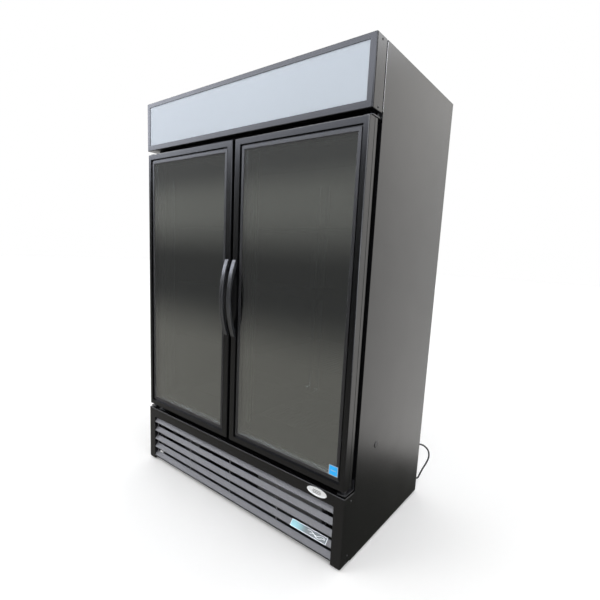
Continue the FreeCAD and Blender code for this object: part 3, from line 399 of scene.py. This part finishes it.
def pane():
    made = Finish("tinted_glass", (0.6, 0.63, 0.61), 0.03, 0.5, rough=(0.0, 0.005), smear=0.25,
                  Transmission_Weight=1.0, IOR=2.2)
    return made.done()


def handle_plastic():
    made = Finish("ribbed_black_plastic", (0.022, 0.023, 0.026), 0.12, rough=(0.2, 0.3), IOR=1.85)
    made.relief(cloud(made.tree, 0.0012, (1, 1, 0.1)), 0.12, 0.0002)
    return made.done()


def copper_tube():
    made = Finish("copper_tube", (0.62, 0.27, 0.15), 0.2, 0.03, rough=(0.25, 0.42), Metallic=1.0)
    made.tint(spread(made.tree, cloud(made.tree, 0.04), 0.0, 0.6), (0.3, 0.13, 0.08))
    made.relief(cloud(made.tree, 0.003), 0.1, 0.0003)
    return made.done()


def badge_face():
    """Brushed plate, pale green and blue at its left end."""
    left = box("grille_badge")[0].x
    made = Finish("badge_plate", (0.13, 0.15, 0.155), 0.08, 0.02, rough=(0.35, 0.45))
    across = add_node(made.tree, "ShaderNodeSeparateXYZ")
    link(made.tree, position(made.tree), across.inputs["Vector"])
    share = add_node(made.tree, "ShaderNodeMapRange", interpolation_type="SMOOTHSTEP")
    link(made.tree, across.outputs["X"], share.inputs["Value"])
    share.inputs["From Min"].default_value = left + 0.09
    share.inputs["From Max"].default_value = left + 0.02
    made.tint(share.outputs["Result"], (0.3, 0.6, 0.66))
    made.relief(cloud(made.tree, 0.0008, (0.1, 1, 1)), 0.08, 0.0001)
    return made.done()


FINISHES = {
    "black_paint": gloss_paint(),
    "galvanised_steel": galvanised(),
    "foam": foam(),
    "white_liner": white_liner(),
    "black_trim": moulded("black_trim", (0.012, 0.012, 0.013), (0.3, 0.4)),
    "zinc_steel": zinc(),
    "hinge_black": enamel("black_hinge_paint"),
    "frame_black": enamel("black_frame_paint"),
    "white_wire": wire_coating(),
    "coil_fins": fins(),
    "motor_enamel": enamel("black_enamel"),
    "fan_plastic": moulded("fan_plastic", (0.03, 0.03, 0.034), (0.35, 0.45)),
    "fan_metal": spun_metal(),
    "lamp_diffuser": diffuser(),
    "sign_panel": sign(),
    "black_screw": enamel("blackened_screw"),
    "grey_louver": louver(),
    "badge_plate": badge_face(),
    "badge_silver": brushed("badge_silver", (0.86, 0.87, 0.88), (0.1, 1, 1), 0.4),
    "badge_blue": moulded("badge_blue", (0.004, 0.36, 0.8), (0.5, 0.6)),
    "door_black": door_paint(),
    "clear_glass": pane(),
    "spacer_metal": brushed("spacer_metal", (0.3, 0.31, 0.32), (1, 1, 0.1)),
    "gasket_rubber": moulded("gasket_rubber", (0.016, 0.016, 0.017), (0.55, 0.68), 0.0016),
    "handle_black": handle_plastic(),
    "copper": copper_tube(),
    "cord_black": moulded("cord_black", (0.018, 0.018, 0.019), (0.42, 0.55)),
    "cap_black": moulded("cap_black", (0.014, 0.014, 0.015), (0.3, 0.42)),
    "control_plastic": moulded("control_plastic", (0.03, 0.03, 0.032), (0.3, 0.4)),
}
SOFT_EDGES = {
    "black_paint": 0.0008,
    "galvanised_steel": 0.0005,
    "white_liner": 0.0006,
    "zinc_steel": 0.0005,
    "sign_panel": 0.0006,
    "grey_louver": 0.0005,
    "badge_silver": 0.0003,
    "badge_blue": 0.0004,
    "black_trim": 0.0006,
    "control_plastic": 0.0004,
    "door_black": 0.0014,
    "hinge_black": 0.0005,
    "frame_black": 0.0005,
}


def dress_cad():
    """Each CAD node gets its slot's finish, and sheet metal gets softened edges."""
    for part in RECORD["subparts"]:
        piece = NODES[part["node"]]
        piece.data.materials.clear()
        piece.data.materials.append(FINISHES[part["material_slot"]])
        width = SOFT_EDGES.get(part["material_slot"])
        if width:
            weld = piece.modifiers.new("weld", "WELD")
            weld.merge_threshold = 0.00001
            edge = piece.modifiers.new("edge", "BEVEL")
            edge.width = width
            edge.segments = 2
            edge.limit_method = "ANGLE"
            edge.angle_limit = math.radians(50)
            edge.harden_normals = True


# ---- Mains cord -----------------------------------------------------------
CORD_R = 0.0045
COIL_CENTRE = Vector((0.560, 0.4785, 0.0))
COIL_INNER = 0.0375
COIL_TURNS = 3
TURN_POINTS = 16
LEAD = [
    (0.643, 0.4345, 0.240), (0.648, 0.4725, 0.238), (0.671, 0.5045, 0.228), (0.700, 0.5165, 0.202),
    (0.709, 0.5105, 0.164), (0.699, 0.4965, 0.128), (0.684, 0.4865, 0.090), (0.672, 0.4855, 0.053),
    (0.660, 0.4965, 0.022), (0.632, 0.5155, 0.0045), (0.598, 0.5345, 0.0045),
]
TAIL = [
    (0.524, 0.5375, 0.012), (0.490, 0.5245, 0.008), (0.458, 0.5035, 0.007), (0.428, 0.4845, 0.010),
    (0.396, 0.4745, 0.0135),
]


def smooth_step(value, low, high):
    share = min(1.0, max(0.0, (value - low) / (high - low)))
    return share * share * (3 - 2 * share)


def coil_points():
    """Three turns inwards on the floor, then three turns outwards on top of them."""
    points = []
    swell = 1 / math.cos(math.pi / TURN_POINTS)
    for i in range(2 * COIL_TURNS * TURN_POINTS + 1):
        turn = i / TURN_POINTS
        radius = COIL_INNER + 2 * CORD_R * abs(turn - COIL_TURNS)
        angle = math.pi / 2 + 2 * math.pi * turn
        height = CORD_R * (1 + 2 * smooth_step(turn, COIL_TURNS - 0.15, COIL_TURNS + 0.1))
        flat = Vector((math.cos(angle), math.sin(angle), 0)) * radius * swell
        points.append(COIL_CENTRE + flat + Z_DIR * height)
    return points


def mains_cord():
    data = bpy.data.curves.new("mains_cord", "CURVE")
    data.dimensions = "3D"
    data.bevel_depth = CORD_R
    data.bevel_resolution = 5
    data.resolution_u = 8
    data.use_fill_caps = True
    spline = data.splines.new("NURBS")
    route = [Vector(p) for p in LEAD] + coil_points() + [Vector(p) for p in TAIL]
    spline.points.add(len(route) - 1)
    for point, spot in zip(spline.points, route):
        point.co = (*spot, 1)
    spline.order_u = 3
    spline.use_endpoint_u = True
    cord = add_object("mains_cord", data, "cabinet", "cord_black")
    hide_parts("power_cord", "cord_coil")
    pieces = [power_plug(), NODES["cord_gland"], relief_ribs(), cord_tie()]


def cord_tie():
    """Wire tie round the bundle of turns, opposite the plug."""
    angle = math.radians(-60)
    out = Vector((math.cos(angle), math.sin(angle), 0))
    half_wide = CORD_R * COIL_TURNS + 0.0008
    half_high = 2 * CORD_R + 0.0002
    centre = COIL_CENTRE + out * (COIL_INNER + CORD_R * COIL_TURNS) + Z_DIR * (2 * CORD_R + 0.001)
    loop = []
    for i in range(32):
        turn = 2 * math.pi * i / 32
        across = math.copysign(math.sqrt(abs(math.cos(turn))), math.cos(turn))
        upward = math.copysign(math.sqrt(abs(math.sin(turn))), math.sin(turn))
        loop.append(centre + out * half_wide * across + Z_DIR * half_high * upward)
    return line_curve("cord_tie", [loop], 0.0008, "cabinet", "cap_black", closed=True)


def relief_ribs():
    """Rings moulded round the strain relief."""
    low, high = box("cord_gland")
    middle = (low + high) / 2
    rings = []
    for i in range(5):
        y = high.y - 0.003 - i * 0.0048
        radius = CORD_R + 0.0016 + (high.y - y) * 0.1
        ring = []
        for k in range(28):
            angle = 2 * math.pi * k / 28
            across, upward = radius * math.cos(angle), radius * math.sin(angle)
            ring.append(Vector((middle.x + across, y, middle.z + upward)))
        rings.append(ring)
    return line_curve("strain_relief_ribs", rings, 0.0009, "cabinet", "cord_black", closed=True)


def power_plug():
    """Moulded three-pin plug with finger ridges."""
    neck = Vector((box("power_plug")[1].x, TAIL[-1][1], TAIL[-1][2]))
    sections = [  # distance from the neck, half width, half height
        (0.0, 0.0060, 0.0062), (0.008, 0.0068, 0.0070), (0.014, 0.0080, 0.0080),
        (0.017, 0.0120, 0.0104), (0.020, 0.0150, 0.0120), (0.0235, 0.0140, 0.0113),
        (0.027, 0.0155, 0.0123), (0.0305, 0.0145, 0.0115), (0.034, 0.0158, 0.0124),
        (0.0375, 0.0150, 0.0118), (0.041, 0.0160, 0.0126), (0.046, 0.0162, 0.0127),
        (0.048, 0.0152, 0.0118),
    ]

    def build(form):
        rings = []
        for along, half_y, half_z in sections:
            ring = []
            for k in range(28):
                angle = 2 * math.pi * k / 28
                c, s = math.cos(angle), math.sin(angle)
                y = half_y * math.copysign(abs(c) ** 0.75, c)
                z = half_z * math.copysign(abs(s) ** 0.75, s)
                ring.append(form.verts.new(neck + Vector((-along, y, z))))
            rings.append(ring)
        for first, second in zip(rings, rings[1:]):
            for k in range(28):
                j = (k + 1) % 28
                form.faces.new((first[k], first[j], second[j], second[k]))
        form.faces.new(rings[0])
        form.faces.new(rings[-1])

    plug = add_object("moulded_plug", mesh_from("moulded_plug", build), "cabinet", "cord_black")
    for face in plug.data.polygons:
        face.use_smooth = len(face.vertices) == 4
    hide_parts("power_plug")
    face_x = neck.x - sections[-1][0]

    def pins(form):
        for side in (-1, 1):
            middle = neck.y + side * 0.00635
            add_box(form, Vector((face_x - 0.017, middle - 0.00075, neck.z - 0.0032)),
                    Vector((face_x + 0.002, middle + 0.00075, neck.z + 0.0032)))
        profile = [(0.0024, 0.0), (0.0024, 0.0195), (0.0016, 0.0215)]
        lathe(form, profile, Vector((face_x + 0.002, neck.y, neck.z + 0.0085)), facing(-X_DIR), 20)

    blades = add_object("plug_pins", mesh_from("plug_pins", pins), "cabinet", "zinc_steel")
    blades.parent = plug
    return plug


# ---- Added detail ---------------------------------------------------------
def ring_points(centre, radius, steps=48):
    """Circle in a plane across Y."""
    points = []
    for i in range(steps):
        angle = 2 * math.pi * i / steps
        points.append(centre + Vector((radius * math.cos(angle), 0, radius * math.sin(angle))))
    return points


GUARD_DOME = 0.004


def fan_guard(name, fan, y, outer, wires, slot):
    """Domed round wire guard in front of a fan: rings and eight spokes."""
    low, high = box(fan)
    centre = Vector(((low.x + high.x) / 2, y, (low.z + high.z) / 2))
    rings = []
    for i in range(wires):
        share = (i + 1) / wires
        dome = GUARD_DOME * (1 - share * share)
        rings.append(ring_points(centre - Y_DIR * dome, outer * share))
    line_curve(name + "_rings", rings, 0.0011, "cabinet", slot, closed=True)
    spokes = []
    for i in range(8):
        angle = 2 * math.pi * i / 8 + math.pi / 8
        out = Vector((math.cos(angle), 0, math.sin(angle)))
        spoke = []
        for share in (0.12, 0.4, 0.7, 1.0):
            dome = GUARD_DOME * (1 - share * share) - 0.0016
            spoke.append(centre + out * outer * share - Y_DIR * dome)
        spokes.append(spoke)
    line_curve(name + "_spokes", spokes, 0.0013, "cabinet", slot)


def fan_guards():
    face = box("evaporator_cover")[0].y - 0.0018
    for side in ("right", "left"):
        name, fan = f"evaporator_guard_{side}", f"evaporator_fan_{side}"
        fan_guard(name, fan, face, 0.086, 7, "white_wire")


def panel_screws():
    """Screws round the back panel and the rear grille, and along the evaporator cover."""
    low, high = box("back_panel")
    spots = []
    for i in range(6):
        z = low.z + 0.04 + i * (high.z - low.z - 0.08) / 5
        for x in (low.x + 0.014, high.x - 0.014):
            spots.append(Vector((x, high.y, z)))
    for i in range(1, 6):
        x = low.x + i * (high.x - low.x) / 6
        spots.append(Vector((x, high.y, high.z - 0.014)))
        spots.append(Vector((x, high.y, low.z + 0.014)))
    screw_heads("back_panel_screws", spots, Y_DIR, 0.0042, "cabinet", "zinc_steel")
    low, high = box("rear_grille")
    spots = []
    for i in range(6):
        x = low.x + 0.03 + i * (high.x - low.x - 0.06) / 5
        for z in (low.z + 0.016, high.z - 0.016):
            spots.append(Vector((x, high.y, z)))
    screw_heads("rear_grille_screws", spots, Y_DIR, 0.0042, "cabinet", "zinc_steel")
    low, high = box("evaporator_cover")
    spots = []
    for i in range(7):
        x = low.x + 0.03 + i * (high.x - low.x - 0.06) / 6
        spots.append(Vector((x, low.y, low.z + 0.012)))
    screw_heads("evaporator_screws", spots, -Y_DIR, 0.0036, "cabinet", "zinc_steel")


DOOR_PIVOT_X, DOOR_PIVOT_Y = 0.663, -0.3325


def hinge_hardware():
    """Screws through each upper bracket, and bright sleeves on the lower pins."""
    low, high = box("hinge_brackets")
    half = (high.x - low.x) / 2
    spots = []
    face = box("face_frame")[0].y - 0.003
    for x in (half - 0.012, half - 0.028):
        for side in (-1, 1):
            spots.append(Vector((side * x, face, high.z - 0.016)))
            spots.append(Vector((side * x, face, high.z - 0.034)))
    screw_heads("hinge_screws", spots, -Y_DIR, 0.0038, "cabinet", "zinc_steel")
    sleeve_z = box("right_door_frame")[0].z - 0.0075

    def sleeves(form):
        for side in (-1, 1):
            foot = Vector((side * DOOR_PIVOT_X, DOOR_PIVOT_Y, sleeve_z))
            profile = [(0.0103, 0.0), (0.0108, 0.0008), (0.0108, 0.0052), (0.0103, 0.006)]
            lathe(form, profile, foot, Matrix.Identity(4))

    add_object("hinge_sleeves", mesh_from("hinge_sleeves", sleeves), "cabinet", "zinc_steel")


def plate_emblems():
    """Plain bars on the oval plate, and pale raised frames on the square and the slanted badge."""
    low, high = box("oval_plate")
    centre = (low + high) / 2

    def oval_bars(form):
        for i, width in enumerate((0.019, 0.023, 0.019)):
            z = centre.z + (i - 1) * 0.0062
            add_box(form, Vector((centre.x - width, low.y + 0.0006, z - 0.0012)),
                    Vector((centre.x + width, low.y + 0.0012, z + 0.0012)))

    add_object("oval_plate_bars", mesh_from("oval_plate_bars", oval_bars), "cabinet", "black_screw")
    low, high = box("door_badge")

    def frame_bars(form):
        edge = 0.0022
        near, far = low.y - 0.0004, low.y + 0.0004
        spans = [
            (low.x, low.x + edge, low.z, high.z), (high.x - edge, high.x, low.z, high.z),
            (low.x + edge, high.x - edge, low.z, low.z + edge),
            (low.x + edge, high.x - edge, high.z - edge, high.z),
        ]
        middle = (low + high) / 2
        spans.append((low.x + 0.009, high.x - 0.009, middle.z - 0.0012, middle.z + 0.0012))
        for x0, x1, z0, z1 in spans:
            add_box(form, Vector((x0, near, z0)), Vector((x1, far, z1)))

    mesh = mesh_from("door_badge_frame", frame_bars)
    add_object("door_badge_frame", mesh, "right_door", "sign_panel")
    low, high = box("grille_badge")
    rise = Vector((0, high.y - low.y, high.z - low.z)).normalized()
    out = Vector((0, -rise.z, rise.y))
    foot = (low + high) / 2 + out * 0.0004
    turn = Matrix((X_DIR, rise, -out)).transposed().to_4x4()
    half_x = (high.x - low.x) / 2
    half_up = 0.5 * math.hypot(high.y - low.y, high.z - low.z) - 0.0006

    def badge_lines(form):
        edge = 0.0012
        spans = [
            (-half_x, half_x, -half_up, -half_up + edge),
            (-half_x, half_x, half_up - edge, half_up),
            (-half_x, -half_x + edge, -half_up, half_up),
            (half_x - edge, half_x, -half_up, half_up),
        ]
        for x0, x1, u0, u1 in spans:
            size = Matrix.Diagonal((x1 - x0, u1 - u0, edge, 1))
            spot = Matrix.Translation(((x0 + x1) / 2, (u0 + u1) / 2, 0))
            place = Matrix.Translation(foot) @ turn @ spot @ size
            bmesh.ops.create_cube(form, size=1, matrix=place)

    mesh = mesh_from("grille_badge_frame", badge_lines)
    add_object("grille_badge_frame", mesh, "cabinet", "badge_silver")
    strokes = []
    for lift, start in ((0.22, -0.05), (-0.22, 0.1)):
        stroke = []
        for i in range(41):
            share = i / 40
            x = half_x * (start + (0.9 - start) * share)
            u = half_up * (lift + 0.3 * math.sin(9 * share + lift))
            stroke.append(foot + turn.to_3x3() @ Vector((x, u, -0.0006)))
        strokes.append(stroke)
    line_curve("grille_badge_waves", strokes, 0.0009, "cabinet", "badge_silver")


def header_seam_highlights():
    """Pale zinc strip between the header and each side of the cabinet: a painted highlight for the
    side panel's front edge catching the light.
    """
    low, high = box("header_housing")
    seam = box("right_side_panel")[0].y

    def strips(form):
        for side in (-1, 1):
            outer = side * (box("right_side_panel")[1].x + 0.0002)
            inner = outer - side * 0.0016
            add_box(form, Vector((min(inner, outer), seam - 0.0012, low.z + 0.004)),
                    Vector((max(inner, outer), seam + 0.0002, high.z - 0.006)))

    add_object("header_seam_highlights", mesh_from("header_seam_highlights", strips), "cabinet", "zinc_steel")


def grille_shade_pan():
    """Thin black pan that closes the underside of the front grille: a dark sheet added as painted
    shade, so the gaps between the slats look dark.
    """
    half = box("grille_louvers")[1].x - 0.001
    front, rear = box("grille_frame")[0].y + 0.026, box("base_frame")[0].y - 0.001
    level = box("right_side_panel")[0].z + 0.012

    def pan(form):
        add_box(form, Vector((-half, front, level)), Vector((half, rear, level + 0.0012)))
        add_box(form, Vector((-half, rear - 0.0012, level)), Vector((half, rear, level + 0.03)))

    add_object("grille_shade_pan", mesh_from("grille_shade_pan", pan), "cabinet", "frame_black")


def rating_plate():
    """Blank plate on the back with four rivets."""
    low, high = box("back_panel")
    corner = Vector((low.x + 0.09, high.y, low.z + 0.11))

    def plate(form):
        add_box(form, corner, corner + Vector((0.11, 0.0008, 0.07)))

    add_object("rating_plate", mesh_from("rating_plate", plate), "cabinet", "badge_silver")
    spots = []
    for x in (0.005, 0.105):
        for z in (0.005, 0.065):
            spots.append(corner + Vector((x, 0.0008, z)))
    screw_heads("rating_plate_rivets", spots, Y_DIR, 0.0022, "cabinet", "zinc_steel")


# ---- Surroundings ---------------------------------------------------------
FLOOR_SIZE = 60.0
FLOOR_GAP = 0.0002
WHITE = (1, 1, 1)
SHUT_IN = (0.05, 0.05, 0.05)
DARK_FLOOR = (0.08, 0.082, 0.07)
WALL_LOW, WALL_HIGH = (1.6, 1.57, 1.53), (2.1, 2.06, 2.0)
REAR_WALL = (1.15, 1.15, 1.13)
CEILING = (6.0, 6.1, 6.3)
DIM_WALL = (0.9, 0.9, 0.9)
LIT_WALL_SPAN = (0.27, 0.57)  # X part of the directions in which the wall is lit
FRONT_FLOOR = (0.40, 0.39, 0.36)
FRONT_BANDS = (  # rise over run where a band begins, its softness, its light
    (-0.28, 0.12, (0.12, 0.12, 0.12)),
    (0.04, 0.10, (0.42, 0.42, 0.40)),
    (0.23, 0.06, (0.24, 0.24, 0.24)),
    (0.37, 0.02, (6.4, 6.7, 7.6)),
    (0.77, 0.16, (0.8, 0.82, 0.88)),
    (1.44, 0.12, (14.0, 14.2, 14.6)),
    (2.78, 0.12, (0.8, 0.82, 0.88)),
)


def stage_plane(name, size, place, turn, material):
    mesh = bpy.data.meshes.new(name)
    form = bmesh.new()
    bmesh.ops.create_grid(form, x_segments=1, y_segments=1, size=size / 2)
    form.to_mesh(mesh)
    form.free()
    plane = bpy.data.objects.new(name, mesh)
    bpy.context.scene.collection.objects.link(plane)
    plane.matrix_world = Matrix.Translation(place) @ turn
    mesh.materials.append(material)
    return plane


def make_floor():
    material = bpy.data.materials.new("pale_floor")
    material.use_nodes = True
    tree = material.node_tree
    shader = tree.nodes["Principled BSDF"]
    shader.inputs["Roughness"].default_value = 0.9
    shader.inputs["Specular IOR Level"].default_value = 0.1
    tone = blended(tree, cloud(tree, 0.8), (0.975, 0.975, 0.975), (0.985, 0.985, 0.985))
    link(tree, tone, shader.inputs["Base Color"])
    shader.inputs["Emission Color"].default_value = (1, 1, 1, 1)
    shader.inputs["Emission Strength"].default_value = 0.06
    place = Vector((0, 0, CAD_LOW.z - FLOOR_GAP))
    floor = stage_plane("floor", FLOOR_SIZE, place, Matrix.Identity(4), material)
    floor.visible_glossy = False
    floor.visible_transmission = False


def rising(tree, value, edge, soft):
    """0 below an edge and 1 above it."""
    made = add_node(tree, "ShaderNodeMapRange", interpolation_type="SMOOTHSTEP")
    link(tree, value, made.inputs["Value"])
    made.inputs["From Min"].default_value = edge - soft
    made.inputs["From Max"].default_value = edge + soft
    return made.outputs["Result"]


def within(tree, value, low, high, soft):
    """1 between two edges and 0 outside them."""
    entered = rising(tree, value, low, soft)
    left = rising(tree, value, high, soft)
    return maths(tree, "SUBTRACT", entered, left, clamp=True)


def studio_front(tree, direction):
    """Soft level bands in front of the doors: floor, dim wall, strip light and overhead light."""
    ahead = maths(tree, "MAXIMUM", maths(tree, "MULTIPLY", direction["Y"], -1.0), 0.2)
    lift = maths(tree, "DIVIDE", direction["Z"], ahead)
    colour = FRONT_FLOOR
    for edge, soft, shown in FRONT_BANDS:
        colour = blended(tree, rising(tree, lift, edge, soft), colour, shown)
    return colour


def make_world():
    """White for the eye and for soft light; bands of light and a dark floor for reflections.

    The bands go by direction alone. Light that bounced inside and came out through glass counts
    at 5%, which keeps the closed cabinet dark.
    """
    world = bpy.data.worlds.new("studio")
    world.use_nodes = True
    world.cycles.sampling_method = "NONE"
    bpy.context.scene.world = world
    tree = world.node_tree
    shown = tree.nodes["Background"]
    coords = add_node(tree, "ShaderNodeTexCoord")
    split = add_node(tree, "ShaderNodeSeparateXYZ")
    link(tree, coords.outputs["Generated"], split.inputs["Vector"])
    direction = split.outputs
    square = maths(tree, "POWER", direction["Z"], 2.0)
    flat = maths(tree, "SQRT", maths(tree, "SUBTRACT", 1.0, square))
    steep = maths(tree, "DIVIDE", direction["Z"], maths(tree, "MAXIMUM", flat, 0.05))
    wall = blended(tree, rising(tree, steep, -0.05, 0.45), WALL_LOW, WALL_HIGH)
    wall = blended(tree, rising(tree, direction["Y"], 0.93, 0.07), wall, REAR_WALL)
    wall = blended(tree, rising(tree, steep, 0.5, 0.06), wall, CEILING)
    wall = blended(tree, within(tree, direction["X"], *LIT_WALL_SPAN, 0.07), DIM_WALL, wall)
    around = blended(tree, rising(tree, steep, -0.5, 0.02), DARK_FLOOR, wall)
    front = rising(tree, maths(tree, "MULTIPLY", direction["Y"], -1.0), 0.2, 0.1)
    mirrored = blended(tree, front, around, studio_front(tree, direction))
    path = add_node(tree, "ShaderNodeLightPath")
    inside = maths(tree, "MINIMUM", path.outputs["Diffuse Depth"], 1.0)
    straight = maths(tree, "SUBTRACT", 1.0, path.outputs["Glossy Depth"], clamp=True)
    shut_in = maths(tree, "MAXIMUM", inside, straight)
    passed = maths(tree, "MULTIPLY", path.outputs["Is Transmission Ray"], shut_in)
    through = blended(tree, inside, WHITE, SHUT_IN)
    seen = blended(tree, path.outputs["Is Glossy Ray"], WHITE, mirrored)
    seen = blended(tree, passed, seen, through)
    link(tree, seen, shown.inputs["Color"])
    shown.inputs["Strength"].default_value = 1.0


def soft_lamp(name, place, size, power):
    """Round soft lamp aimed at the middle of the object, left out of reflections."""
    data = bpy.data.lights.new(name, "AREA")
    data.shape = "DISK"
    data.size = size
    data.energy = power
    light = bpy.data.objects.new(name, data)
    bpy.context.scene.collection.objects.link(light)
    aim = Vector((0, 0, CAD_HIGH.z / 2)) - place
    light.matrix_world = Matrix.Translation(place) @ facing(-aim)
    light.visible_glossy = False


def make_lights():
    soft_lamp("key", Vector((-2.4, -3.6, 4.2)), 2.6, 50)
    soft_lamp("fill", Vector((4.2, -1.5, 3.0)), 3.0, 25)
    bpy.context.scene.view_settings.view_transform = "Standard"


# ---- Everything -----------------------------------------------------------
make_camera()
mains_cord()
dress_cad()
fan_guards()
panel_screws()
hinge_hardware()
plate_emblems()
header_seam_highlights()
grille_shade_pan()
rating_plate()
make_floor()
make_world()
make_lights()
